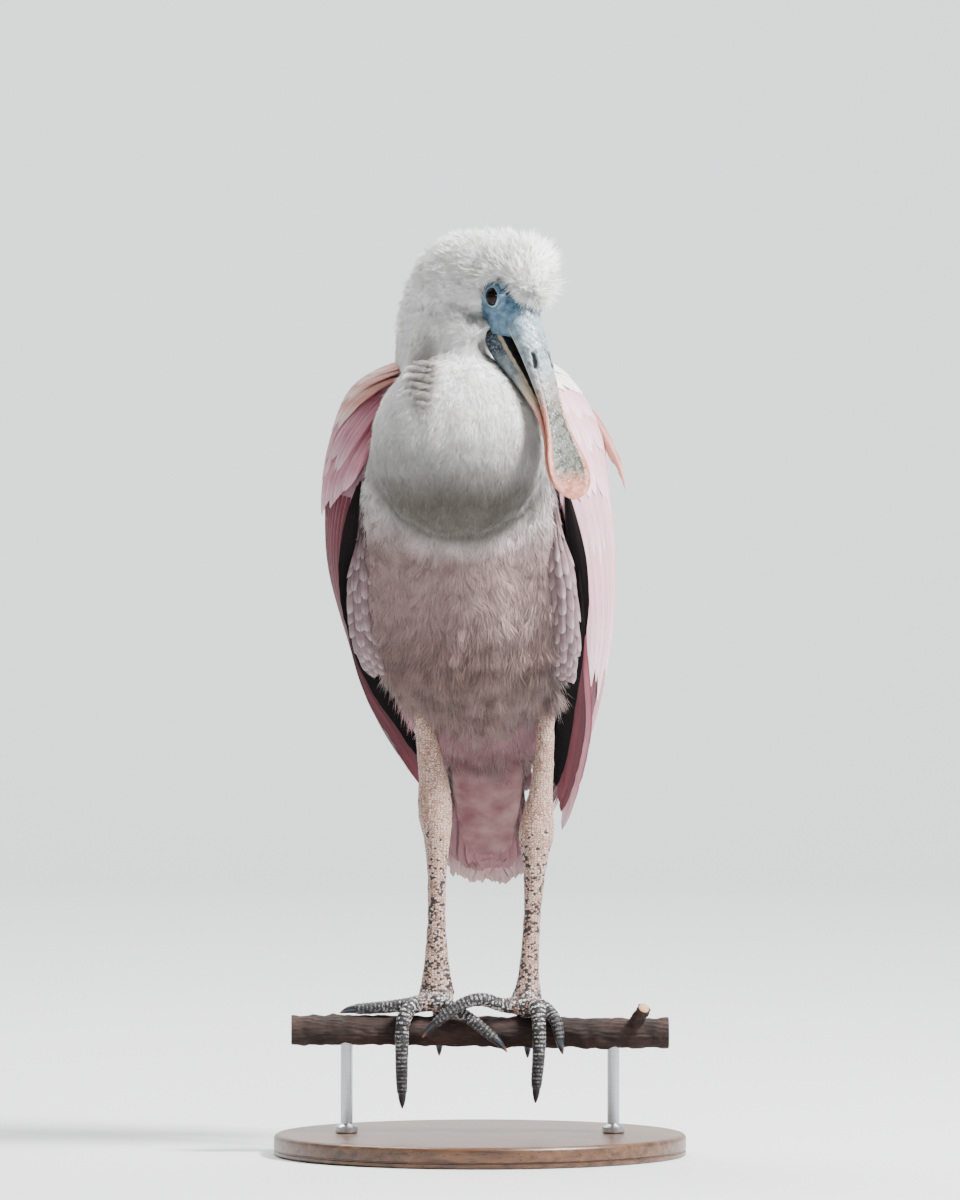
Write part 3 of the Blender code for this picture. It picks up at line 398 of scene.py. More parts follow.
def mantle_surface(down, across, height):
    """Points of the upper back: down it, and across it from the right to the left."""
    shares = np.linspace(0, 1, 60)
    heights = curve(TORSO, shares)[:, 2]
    z = MANTLE_TOP - MANTLE_DROP * np.asarray(down, float)
    row = curve(TORSO, np.interp(-z, -heights, shares))
    grow = 0.013 + height
    angle = np.radians(180 + 62 * across)
    x = row[..., 0] - (row[..., 3] + grow) * np.sin(angle)
    y = row[..., 1] - (row[..., 4] + grow) * np.cos(angle)
    return np.stack(np.broadcast_arrays(x, y, z), axis=-1)


class Bag:
    """Collects the points, faces and maps of the many small forms that make one piece."""

    def __init__(self):
        self.points = []
        self.faces = {3: [], 4: []}
        self.maps = {}
        self.values = {}
        self.normals = []
        self.count = 0

    def add(self, points, faces, maps=None, values=None, normals=None):
        """Points and their maps are arrays of one length, and faces count from the first of them."""
        points = points.reshape(-1, 3)
        self.points.append(points)
        for rows in faces:
            if len(rows):
                self.faces[rows.shape[1]].append(rows + self.count)
        for name, uv in (maps or {}).items():
            self.maps.setdefault(name, []).append(np.asarray(uv, float).reshape(-1, 2))
        for name, value in (values or {}).items():
            each = np.full(len(points), float(value)) if np.ndim(value) == 0 else np.asarray(value, float)
            self.values.setdefault(name, []).append(each.reshape(-1))
        if normals is not None:
            self.normals.append(normals.reshape(-1, 3))
        self.count += len(points)

    def make(self, name, material, replaced=(), smooth=True):
        """Makes the piece, gives it its material and lets it ride on the model's one body."""
        points = np.concatenate(self.points)
        kinds = [np.concatenate(rows) for rows in self.faces.values() if rows]
        corners = np.concatenate([rows.ravel() for rows in kinds])
        sizes = np.concatenate([np.full(len(rows), rows.shape[1]) for rows in kinds])
        mesh = bpy.data.meshes.new(name)
        mesh.vertices.add(len(points))
        mesh.vertices.foreach_set("co", points.ravel())
        mesh.loops.add(len(corners))
        mesh.loops.foreach_set("vertex_index", corners.astype(np.int32))
        mesh.polygons.add(len(sizes))
        mesh.polygons.foreach_set("loop_start", (np.cumsum(sizes) - sizes).astype(np.int32))
        for map_name, parts in self.maps.items():
            layer = mesh.uv_layers.new(name=map_name)
            layer.uv.foreach_set("vector", np.concatenate(parts)[corners].ravel())
        for value_name, parts in self.values.items():
            store_value(mesh, value_name, np.concatenate(parts))
        mesh.update(calc_edges=True)
        mesh.polygons.foreach_set("use_smooth", np.full(len(sizes), smooth))
        if self.normals:
            mesh.normals_split_custom_set_from_vertices(unit(np.concatenate(self.normals)))
        return dress(add_object(name, mesh), material, replaced)


def add_object(name, data):
    """A new object of the scene, with that mesh, light or camera."""
    obj = bpy.data.objects.new(name, data)
    bpy.context.scene.collection.objects.link(obj)
    return obj


def dress(obj, material, replaced=()):
    """Gives a piece its material, the nodes that it stands for and the body that it rides on."""
    obj.data.materials.clear()
    if material:
        obj.data.materials.append(material)
    if replaced:
        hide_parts(*replaced)
    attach(obj, "root")
    return obj


def mesh_points(mesh):
    """The places and the normals of a mesh's points."""
    found = []
    for items, name in ((mesh.vertices, "co"), (mesh.vertex_normals, "vector")):
        flat = np.empty(len(items) * 3)
        items.foreach_get(name, flat)
        found.append(flat.reshape(-1, 3))
    return found


def store_value(mesh, name, values):
    """Stores one number at each point, which a material reads by its name."""
    mesh.attributes.new(name, "FLOAT", "POINT").data.foreach_set("value", values)


def grid_faces(rows, columns, wrap=False):
    """The quads of a grid of points. A wrapped one closes across its columns."""
    last = columns if wrap else columns - 1
    i = np.arange(rows - 1)[:, None] * columns
    j = np.arange(last)[None, :]
    k = (j + 1) % columns
    return np.stack((i + j, i + k, i + columns + k, i + columns + j), axis=-1).reshape(-1, 4)


def round_rows(table):
    """Rows for tube() from rows of x, y, z and radius."""
    return [(x, y, z, radius, radius, radius) for x, y, z, radius in table]


def capped_faces(rings, sides):
    """The faces of closed rings of points, with a fan at each end on one of the poles that follow them."""
    count = rings * sides
    j = np.arange(sides)
    k = (j + 1) % sides
    first = np.stack((k, j, np.full(sides, count)), axis=-1)
    last = np.stack((count - sides + j, count - sides + k, np.full(sides, count + 1)), axis=-1)
    return [grid_faces(rings, sides, wrap=True), first, last]


def tube(rows, rings, sides, up, span=(0.0, 1.0), ends=(0.0, 0.0), power=2.0):
    """A closed body round rows of x, y, z, half width, reach up and reach down: points, faces, places."""
    shares = 0.5 - 0.5 * np.cos(np.pi * np.linspace(0.02, 0.98, rings))
    at = span[0] + (span[1] - span[0]) * shares
    row = curve(rows, at)
    after, before = curve(rows, np.minimum(at + 0.01, 1.0)), curve(rows, np.maximum(at - 0.01, 0.0))
    ahead = unit(after[:, :3] - before[:, :3])
    across = unit(np.cross(ahead, np.asarray(up, float)))
    lift = np.cross(across, ahead)
    scale = np.ones(rings)
    for end, reach in ((shares, ends[0]), (1 - shares, ends[1])):
        if reach:
            scale *= np.sqrt(np.clip(1 - (1 - np.minimum(end / reach, 1)) ** 2, 0.02, 1))
    angle = 2 * math.pi * np.arange(sides) / sides
    c = np.sign(np.cos(angle)) * np.abs(np.cos(angle)) ** (2 / power)
    s = np.sign(np.sin(angle)) * np.abs(np.sin(angle)) ** (2 / power)
    up_reach = np.where(s[None, :] > 0, row[:, 4:5], row[:, 5:6]) * scale[:, None]
    ring = row[:, None, :3] + across[:, None, :] * (c[None, :] * row[:, 3:4] * scale[:, None])[..., None]
    ring = ring + lift[:, None, :] * (s[None, :] * up_reach)[..., None]
    points = np.concatenate((ring.reshape(-1, 3), ring[0].mean(0)[None], ring[-1].mean(0)[None]))
    return points, capped_faces(rings, sides), at, angle


def linear(code):
    """A colour given as an sRGB hex value, in the linear values that shaders take."""
    channels = [int(code[i:i + 2], 16) / 255 for i in (1, 3, 5)]
    return [c / 12.92 if c <= 0.04045 else ((c + 0.055) / 1.055) ** 2.4 for c in channels] + [1.0]


class Surface:
    """A new material, and short ways to add its nodes. The sockets named are set on the shader itself."""

    def __init__(self, name, **sockets):
        self.material = bpy.data.materials.new(name)
        self.material.use_nodes = True
        self.tree = self.material.node_tree
        self.shader = self.tree.nodes["Principled BSDF"]
        for socket, value in sockets.items():
            self.shader.inputs[socket.replace("_", " ").title().replace("Ior", "IOR")].default_value = value

    def node(self, kind, inputs, out=0, **settings):
        """Adds a node, feeds its inputs from outputs, values or hex colours, and returns one output."""
        made = self.tree.nodes.new("ShaderNode" + kind)
        for name, value in settings.items():
            setattr(made, name, value)
        for place, value in inputs.items():
            if isinstance(value, bpy.types.NodeSocket):
                self.tree.links.new(value, made.inputs[place])
            else:
                made.inputs[place].default_value = linear(value) if isinstance(value, str) else value
        return made.outputs[out]

    def place(self):
        """The object's own coordinates, in metres."""
        return self.node("TexCoord", {}, 3)

    def read(self, name):
        """A value that the mesh stores at each point."""
        return self.node("Attribute", {}, 2, attribute_name=name)

    def axis(self, vector, number):
        return self.node("SeparateXYZ", {0: vector}, number)

    def math(self, operation, *values):
        return self.node("Math", dict(enumerate(values)), operation=operation)

    def times(self, *values):
        return self.math("MULTIPLY", *values)

    def vector(self, operation, *values, out=0):
        return self.node("VectorMath", dict(enumerate(values)), out, operation=operation)

    def ramp(self, value, start, end, low=0.0, high=1.0, **settings):
        """Carries a value from the range start to end over to the range low to high."""
        return self.node("MapRange", {0: value, 1: start, 2: end, 3: low, 4: high}, **settings)

    def soft(self, *values):
        """A ramp that starts and ends softly."""
        return self.ramp(*values, interpolation_type="SMOOTHSTEP")

    def mix(self, share, first, second):
        return self.node("Mix", {0: share, 6: first, 7: second}, 2, data_type="RGBA")

    def shade(self, colour, value):
        return self.node("HueSaturation", {"Value": value, "Color": colour})

    def noise(self, place, size, detail=2.0, roughness=0.5, distortion=0.0, out=0):
        """Cloudy values that change over about that size."""
        return self.node("TexNoise", {"Vector": place, "Scale": 1 / size, "Detail": detail,
                                      "Roughness": roughness, "Distortion": distortion}, out)

    def cells(self, place, size, randomness=1.0, out=0, **settings):
        """Cells about that size across."""
        return self.node("TexVoronoi", {"Vector": place, "Scale": 1 / size, "Randomness": randomness}, out,
                         **settings)

    def stretch(self, place, scale):
        return self.node("Mapping", {0: place, 3: scale})

    def bump(self, height, strength, distance):
        return self.node("Bump", {"Strength": strength, "Distance": distance, "Height": height})

    def paint(self, colour, relief=None, roughness=None):
        """Links the shader's colour, relief and roughness, and returns the material."""
        for socket, value in (("Base Color", colour), ("Normal", relief), ("Roughness", roughness)):
            if value:
                self.tree.links.new(value, self.shader.inputs[socket])
        return self.material


def plumage_colour(nodes):
    """The markings that skin and down share: white; dirt and painted shade under the bulge; pinkish on the
    breast; and painted shade that darkens the belly and the rose vent towards the bottom.
    """
    place = nodes.place()
    height = nodes.axis(place, 2)
    off = nodes.vector("SUBTRACT", place, BULGE_CENTRE)
    off = nodes.vector("DIVIDE", off, BULGE_RADII)
    reach = nodes.vector("LENGTH", off, out=1)
    outside = nodes.soft(reach, 0.98, 1.3)
    breast = nodes.times(nodes.soft(height, 0.45, 0.385), outside)
    inside = nodes.math("SUBTRACT", 1.0, outside)
    # Under the bulge the down is darker: partly real dirt, and partly painted shade on the bulge's lower
    # side
    dirt_and_shade = nodes.times(nodes.soft(height, 0.5, 0.424), inside)
    patches = nodes.ramp(nodes.noise(place, 0.016, 3.0), 0.35, 0.7)
    # Painted shade: the belly and the vent grow darker towards the bottom, where less light falls; the
    # vent's colour is also its own rose
    belly = nodes.soft(height, 0.375, 0.31)
    vent = nodes.soft(height, 0.296, 0.262)
    # The rump, behind the wings and above the tail, is as rose as the wings
    behind = nodes.axis(place, 1)
    rump = nodes.soft(behind, 0.004, 0.024)
    upper = nodes.soft(height, 0.258, 0.276)
    rump = nodes.times(rump, upper)
    lower = nodes.soft(height, 0.44, 0.4)
    rump = nodes.times(rump, lower)
    clean = tuple(bpy.context.scene.spoonbill_plumage.white)
    colour = nodes.mix(patches, clean, "#EAE7E3")
    fold = nodes.vector("SUBTRACT", place, RUFFLE_AT)
    fold = nodes.vector("DIVIDE", fold, RUFFLE_REACH * 1.3)
    fold = nodes.vector("LENGTH", fold, out=1)
    fold = nodes.soft(fold, 1.3, 0.5, 0.0, 0.75)
    marks = ((fold, "#7F756A"), (dirt_and_shade, "#554E46"), (breast, "#AE9390"),
             (belly, "#655049"), (vent, "#693E44"))
    for share, code in marks:
        colour = nodes.mix(share, colour, code)
    worn = nodes.times(nodes.times(breast, patches), 0.65)
    colour = nodes.mix(worn, colour, "#997C77")
    return nodes.mix(rump, colour, "#D29CA7")


def skin_material():
    """Bird skin under down: thin, matt and soft, hardly seen between the tufts and blue round the eyes."""
    nodes = Surface("skin_under_down", roughness=0.85)
    bare = nodes.read("bare")
    colour = plumage_colour(nodes)
    colour = nodes.mix(bare, colour, "#567388")
    place = nodes.place()
    # Feather follicles stand about 2 mm apart
    pores = nodes.cells(place, 0.002)
    return nodes.paint(colour, nodes.bump(pores, 0.5, 0.0004))


def down_material():
    """Keratin barbs with no vane: matt, a little sheen where light grazes them, and darker at the root as
    painted shade among the barbs.
    """
    nodes = Surface("plumage_down", roughness=0.78, sheen_weight=0.25, sheen_roughness=0.5)
    colour = plumage_colour(nodes)
    along = nodes.read("along")
    tone = nodes.read("tone")
    # Painted shade: each barb is darker at its root, where the barbs shade each other
    light = nodes.ramp(along, 0.0, 0.6, 0.92, 1.0)
    vary = nodes.ramp(tone, 0.0, 1.0, 0.74, 1.16)
    light = nodes.times(light, vary)
    dull = nodes.shade(colour, light)
    return nodes.paint(dull)


# The colours of each kind of vane: at its root, along its middle, at its tip, and of its streaks. A root
# darker than the middle is painted shade where the feathers overlap it
VANES = {
    "white": ("#D9CFC8", "#EDE8E3", "#F6F3F0", "#D0B3AE"),
    "pale": ("#C28D9A", "#D8A9B6", "#E7CCD3", "#C78A98"),
    "rose": ("#944857", "#C08490", "#DDBCC3", "#9A5562"),
    "salmon": ("#A65549", "#D09486", "#F0DDD6", "#A0564A"),
    # A darker copy of the crimson: painted shade on the undersides of the folded secondaries
    "maroon": ("#4A1722", "#5C1D2A", "#6B2A36", "#380F17"),
    "peach": ("#C98B78", "#D9A08E", "#E3B4A4", "#BE7E6C"),
    # Crimson darkened as painted shade, most at the tip, where the lower wing lies in shade
    "crimson": ("#64192A", "#551322", "#43101B", "#2A070D"),
    "black": ("#1A1415", "#0E0B0C", "#080607", "#0C0909"),
    "tail": ("#A87780", "#A4737C", "#BBA09D", "#8D5A63"),
    # Rose darkened as painted shade under the body
    "vent": ("#754B52", "#7E545B", "#93686F", "#70474D"),
    # Pale pink darkened as painted shade between the breast and the wing
    "flank": ("#51393C", "#7C6467", "#A79394", "#654849"),
}
# The edges of a vane, painted darker as shade where the feathers overlap, and on the crimson ones paler,
# where the colour of the feathers below shows: how much, and that colour
VANE_EDGES = {
    "salmon": (0.95, "#7E3227"),
    "rose": (0.85, "#7C2C3C"),
    "pale": (0.5, "#B06E80"),
    "white": (0.6, "#B58D84"),
    "crimson": (0.6, "#B87A86"),
    "maroon": (0.5, "#2C0C13"),
    "flank": (0.75, "#5C3E40"),
}


def vane_material(kind):
    """Feather vane: flat keratin, with barbs that run out and on from the shaft and catch the light."""
    root, middle, tip, streak = VANES[kind]
    choices = bpy.context.scene.spoonbill_plumage
    middle = tuple(getattr(choices, kind)) if kind in ("pale", "rose", "salmon") else linear(middle)
    gloss = 0.06 if kind == "black" else 0.4
    nodes = Surface("feather_vane_" + kind, roughness=0.65, sheen_weight=0.2 * gloss, ior=1.5,
                    specular_ior_level=gloss)
    along = nodes.read("along")
    tone = nodes.read("tone")
    vane = nodes.node("UVMap", {}, uv_map="Vane")
    split = nodes.axis(vane, 0)
    across = nodes.math("ABSOLUTE", split)
    onward = split.node.outputs[1]
    slant = nodes.times(across, 1.1)
    course = nodes.math("SUBTRACT", onward, slant)
    wander = nodes.times(nodes.noise(vane, 0.004, 2.0), 0.0016)
    course = nodes.math("ADD", course, wander)
    # Barbs lie about 0.4 mm apart, drawn at 0.9 mm so that they show
    course = nodes.times(course, 2 * math.pi / choices.barbs)
    barbs = nodes.math("SINE", course)
    first = nodes.ramp(along, 0.15, 0.55)
    last = nodes.ramp(along, 0.7, 1.0)
    rest = nodes.ramp(along, 0.92, 0.6)
    # Roots darker than the middle are painted shade where the feathers overlap
    colour = nodes.mix(first, linear(root), middle)
    colour = nodes.mix(last, colour, linear(tip))
    # The streaks are 1.8 mm wide and run 14 mm along the vane
    streaks = nodes.noise(nodes.stretch(vane, (1 / 0.0018, 1 / 0.014, 1.0)), 1.0, 3.0)
    streaks = nodes.ramp(streaks, 0.48, 0.72, 0.0, 0.55)
    colour = nodes.mix(streaks, colour, linear(streak))
    shade = nodes.ramp(barbs, -1.0, 1.0, 0.93, 1.04)
    # Painted shade along the edges, where the feathers overlap; on crimson vanes the edge is paler
    if kind in VANE_EDGES:
        share, shadow = VANE_EDGES[kind]
        edge = nodes.read("edge")
        edge = nodes.ramp(edge, 0.66, 0.96, 0.0, share)
        edge = nodes.times(edge, rest)
        colour = nodes.mix(edge, colour, linear(shadow))
    vary = nodes.ramp(tone, 0.0, 1.0, 0.72, 1.14)
    shade = nodes.times(shade, vary)
    shaft = nodes.ramp(across, 0.0002, 0.0006, 0.82, 1.0)
    shade = nodes.times(shade, shaft)
    colour = nodes.shade(colour, shade)
    bump = nodes.bump(barbs, 0.35, 0.0003)
    return nodes.paint(colour, bump)


FLESH = ("head", "neck", "torso")
# The plumage between breast and flank, from the shoulder down: x, y, z and radius
BREAST_SIDES = {
    RIGHT: [(-0.062, -0.024, 0.492, 0.01), (-0.0655, -0.029, 0.46, 0.013), (-0.0665, -0.029, 0.42, 0.013),
            (-0.0655, -0.024, 0.37, 0.013), (-0.06, -0.015, 0.335, 0.012), (-0.05, -0.002, 0.31, 0.01)],
    LEFT: [(0.037, -0.024, 0.492, 0.01), (0.039, -0.03, 0.46, 0.013), (0.04, -0.031, 0.42, 0.013),
           (0.041, -0.027, 0.37, 0.013), (0.041, -0.017, 0.335, 0.012), (0.038, -0.004, 0.31, 0.01)],
}
# The plumage under the chin, where the neck turns down to the bulge
CHIN = [(-0.036, -0.044, 0.535, 0.01), (-0.021, -0.058, 0.5385, 0.0125), (-0.009, -0.066, 0.539, 0.0125),
        (-0.001, -0.071, 0.533, 0.01)]
SKIN_VOXEL = 0.0021
COAT_DEPTH = 0.0032
FACE_REACH = 0.045
SEARCH_REACH = 0.012
CHEEK_RISE = 0.0018
EYE_LIFT = 0.0015
SOCKET_DEPTH = 0.0042
CREASE_RISE = 0.0075
CREASE_PASSES = 130


def fill_creases(mesh):
    """Lifts the skin in the creases round bulge and breast, which plumage hides on the live bird."""
    count = len(mesh.vertices)
    points, normals = mesh_points(mesh)
    edges = np.empty(len(mesh.edges) * 2, np.int32)
    mesh.edges.foreach_get("vertices", edges)
    edges = edges.reshape(-1, 2)
    ends = np.concatenate((edges, edges[:, ::-1]))
    degree = np.maximum(np.bincount(ends[:, 0], minlength=count), 1)
    reach = bulge_reach(points)
    from_head = np.linalg.norm(points - HEAD_ORIGIN, axis=1)
    near = step(0.9, 1.02, reach) * step(0.034, 0.048, from_head) * step(0.29, 0.32, points[:, 2])
    near = near * (1 - np.minimum(2 * ruffle_share(points), 1))
    face = tree_of("face")
    for i in np.flatnonzero(from_head < FACE_REACH):
        spot = Vector(points[i])
        closest, facing, _, gap = face.find_nearest(spot, SEARCH_REACH)
        if closest is not None and (spot - closest).dot(facing) > 0:
            points[i] += normals[i] * CHEEK_RISE * (1 - gap / SEARCH_REACH)
    ahead, above, aside = head_measures(points)
    socket = step(0.013, 0.0085, np.hypot(ahead, above - EYE_LIFT)) * (np.abs(aside) > 0.006)
    points = points - normals * (SOCKET_DEPTH * socket)[:, None]
    soft = step(0.455, 0.42, points[:, 2]) * step(0.262, 0.29, points[:, 2])
    folds = wobble(points * np.array((1.0, 1.0, 1.8)), 0.036, 31) * 0.0013
    folds = folds + wobble(points, 0.017, 32) * 0.0006
    frill = ruffle_share(points) * ruffle_wave(points) * 0.0013
    points = points + normals * (folds * soft + frill)[:, None]
    start = points.copy()
    for _ in range(CREASE_PASSES):
        sums = [np.bincount(ends[:, 0], points[ends[:, 1], k], minlength=count) for k in range(3)]
        move = ((np.stack(sums, axis=-1) / degree[:, None] - points) * normals).sum(-1)
        points = points + normals * (np.maximum(move, 0) * near)[:, None]
        risen = ((points - start) * normals).sum(-1, keepdims=True)
        points = points - normals * np.maximum(risen - CREASE_RISE, 0)
    mesh.vertices.foreach_set("co", points.ravel())
    mesh.update()


def fused(rough, voxel, softness, passes, inset=0.0):
    """One skin round the closed forms of an object, softened and set in. The object itself goes."""
    join = rough.modifiers.new("join", "REMESH")
    join.mode = "VOXEL"
    join.voxel_size = voxel
    soften = rough.modifiers.new("soften", "SMOOTH")
    soften.factor = softness
    soften.iterations = passes
    shrink = rough.modifiers.new("shrink", "DISPLACE")
    shrink.mid_level = 0.0
    shrink.strength = -inset
    graph = bpy.context.evaluated_depsgraph_get()
    mesh = bpy.data.meshes.new_from_object(rough.evaluated_get(graph))
    bpy.data.objects.remove(rough)
    return mesh


def flesh_skin():
    """One seamless skin through the head, neck and torso, set in by the depth of the down."""
    fill = Bag()
    for table in (*BREAST_SIDES.values(), CHIN):
        fill.add(*tube(round_rows(table), 40, 32, (0, -1, 0), ends=(0.1, 0.1))[:2])
    rough = fill.make("flesh", None)
    bm = bmesh.new()
    bm.from_mesh(rough.data)
    for name in (*FLESH, "face"):
        bm.from_mesh(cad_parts[name].data)
    bm.to_mesh(rough.data)
    bm.free()
    skin = add_object("skin", fused(rough, SKIN_VOXEL, 0.6, 14, COAT_DEPTH))
    fill_creases(skin.data)
    unwrap(skin)
    skin.data.shade_smooth()
    return skin


def unwrap(skin):
    """Lays the OFBake map out over a skin's own shape."""
    skin.data.uv_layers.new(name="OFBake")
    bpy.ops.object.select_all(action="DESELECT")
    bpy.context.view_layer.objects.active = skin
    skin.select_set(True)
    bpy.ops.object.mode_set(mode="EDIT")
    bpy.ops.mesh.select_all(action="SELECT")
    bpy.ops.uv.smart_project(angle_limit=math.radians(66), island_margin=0.004)
    bpy.ops.object.mode_set(mode="OBJECT")


def mesh_arrays(mesh):
    """A mesh's triangles as arrays: corners, points, normals, areas and the OFBake map at each corner."""
    mesh.calc_loop_triangles()
    count = len(mesh.loop_triangles)
    corners = np.empty(count * 3, np.int32)
    loops = np.empty(count * 3, np.int32)
    mesh.loop_triangles.foreach_get("vertices", corners)
    mesh.loop_triangles.foreach_get("loops", loops)
    points, normals = mesh_points(mesh)
    uv = np.empty(len(mesh.loops) * 2)
    mesh.uv_layers["OFBake"].uv.foreach_get("vector", uv)
    corners, loops, uv = corners.reshape(-1, 3), loops.reshape(-1, 3), uv.reshape(-1, 2)
    edge_a = points[corners[:, 1]] - points[corners[:, 0]]
    edge_b = points[corners[:, 2]] - points[corners[:, 0]]
    area = np.linalg.norm(np.cross(edge_a, edge_b), axis=1) / 2
    return corners, points, normals, area, uv[loops]


def scatter(arrays, weight, count, seed):
    """Random places on a skin, thicker where the weight is greater: points, normals and map places."""
    corners, points, normals, area, uv = arrays
    rng = np.random.default_rng(seed)
    share = area * weight
    pick = rng.choice(len(corners), count, p=share / share.sum())
    a, b = rng.random(count), rng.random(count)
    over = a + b > 1
    a, b = np.where(over, 1 - a, a), np.where(over, 1 - b, b)
    parts = np.stack((1 - a - b, a, b), axis=-1)[..., None]
    tri = corners[pick]
    return (points[tri] * parts).sum(1), unit((normals[tri] * parts).sum(1)), (uv[pick] * parts).sum(1)


def bulge_reach(points):
    return np.linalg.norm((points - BULGE_CENTRE) / BULGE_RADII, axis=-1)


def lie_of_down(points, normals, seed):
    """Which way the down lies: back over the head, down the neck and body, and away from the chin."""
    shares = np.linspace(0, 1, 60)
    arch = curve(NECK_ARCH, shares)
    tangent = unit(np.gradient(arch, axis=0))
    near = np.argmin(((points[:, None, :] - arch[None]) ** 2).sum(-1), axis=1)
    chin = head_point(0.01, -0.024)
    down = np.array((0.0, 0.1, -1.0))
    from_chin = unit(points - chin) * 0.7 + down * 0.6
    inside = (1 - step(1.02, 1.2, bulge_reach(points)))[:, None]
    body = step(0.515, 0.47, points[:, 2])[:, None]
    lie = -tangent[near] * (1 - inside) + from_chin * inside
    lie = lie * (1 - body * (1 - inside)) + (down + np.array((0, 0.2, 0))) * body * (1 - inside)
    tail = (step(0.27, 0.256, points[:, 2]) * step(0.03, 0.046, points[:, 1]))[:, None]
    lie = lie * (1 - tail) + np.array((0, math.cos(TAIL_SLANT), -math.sin(TAIL_SLANT))) * tail
    lie = unit(lie - normals * (lie * normals).sum(-1, keepdims=True))
    turn = 0.38 * wobble(points, 0.016, seed) + 0.2 * wobble(points, 0.045, seed + 1)
    side = np.cross(normals, lie)
    return lie * np.cos(turn)[:, None] + side * np.sin(turn)[:, None]


NECK_DOWN = 0.006


def down_style(points):
    """Length, width, lift and spread of the barbs by their place on the bird."""
    _, above, _ = head_measures(points)
    z = points[:, 2]
    inside = 1 - step(1.02, 1.16, bulge_reach(points))
    head = step(0.522, 0.54, z)
    crown = step(0.006, 0.026, above) * step(0.555, 0.58, z)
    body = step(0.47, 0.435, z) * (1 - inside)
    low = step(0.4, 0.33, z)
    length = NECK_DOWN - 0.0008 * head + 0.0004 * crown - 0.0004 * inside + body * (0.0024 + 0.0056 * low)
    width = 0.0005 - 0.00006 * head + body * (0.00022 + 0.00014 * low)
    lift = 0.34 + 0.16 * head + 0.06 * crown - 0.06 * inside - 0.02 * body + 0.08 * body * low
    spread = 0.4 + 0.1 * head - 0.05 * crown + 0.05 * inside + 0.02 * body
    return length, width, lift, spread


BARBS = 7
SHORTEST_BARB = 0.0015
LONGEST_BARB = 0.019
# Where the neck folds over the bulge, its down stands in soiled ruffles: their middle, reach and pitch
RUFFLE_AT = np.array((-0.0375, -0.078, 0.511))
RUFFLE_REACH = np.array((0.0085, 0.05, 0.0215))
RUFFLE_PITCH = 0.005


def ruffle_share(points):
    return np.clip(1.3 - np.linalg.norm((points - RUFFLE_AT) / RUFFLE_REACH, axis=-1), 0, 1)


def ruffle_wave(points):
    run = points[:, 2] + 0.25 * points[:, 0]
    return np.sin(2 * math.pi * run / RUFFLE_PITCH + 0.8 * wobble(points, 0.012, 9))


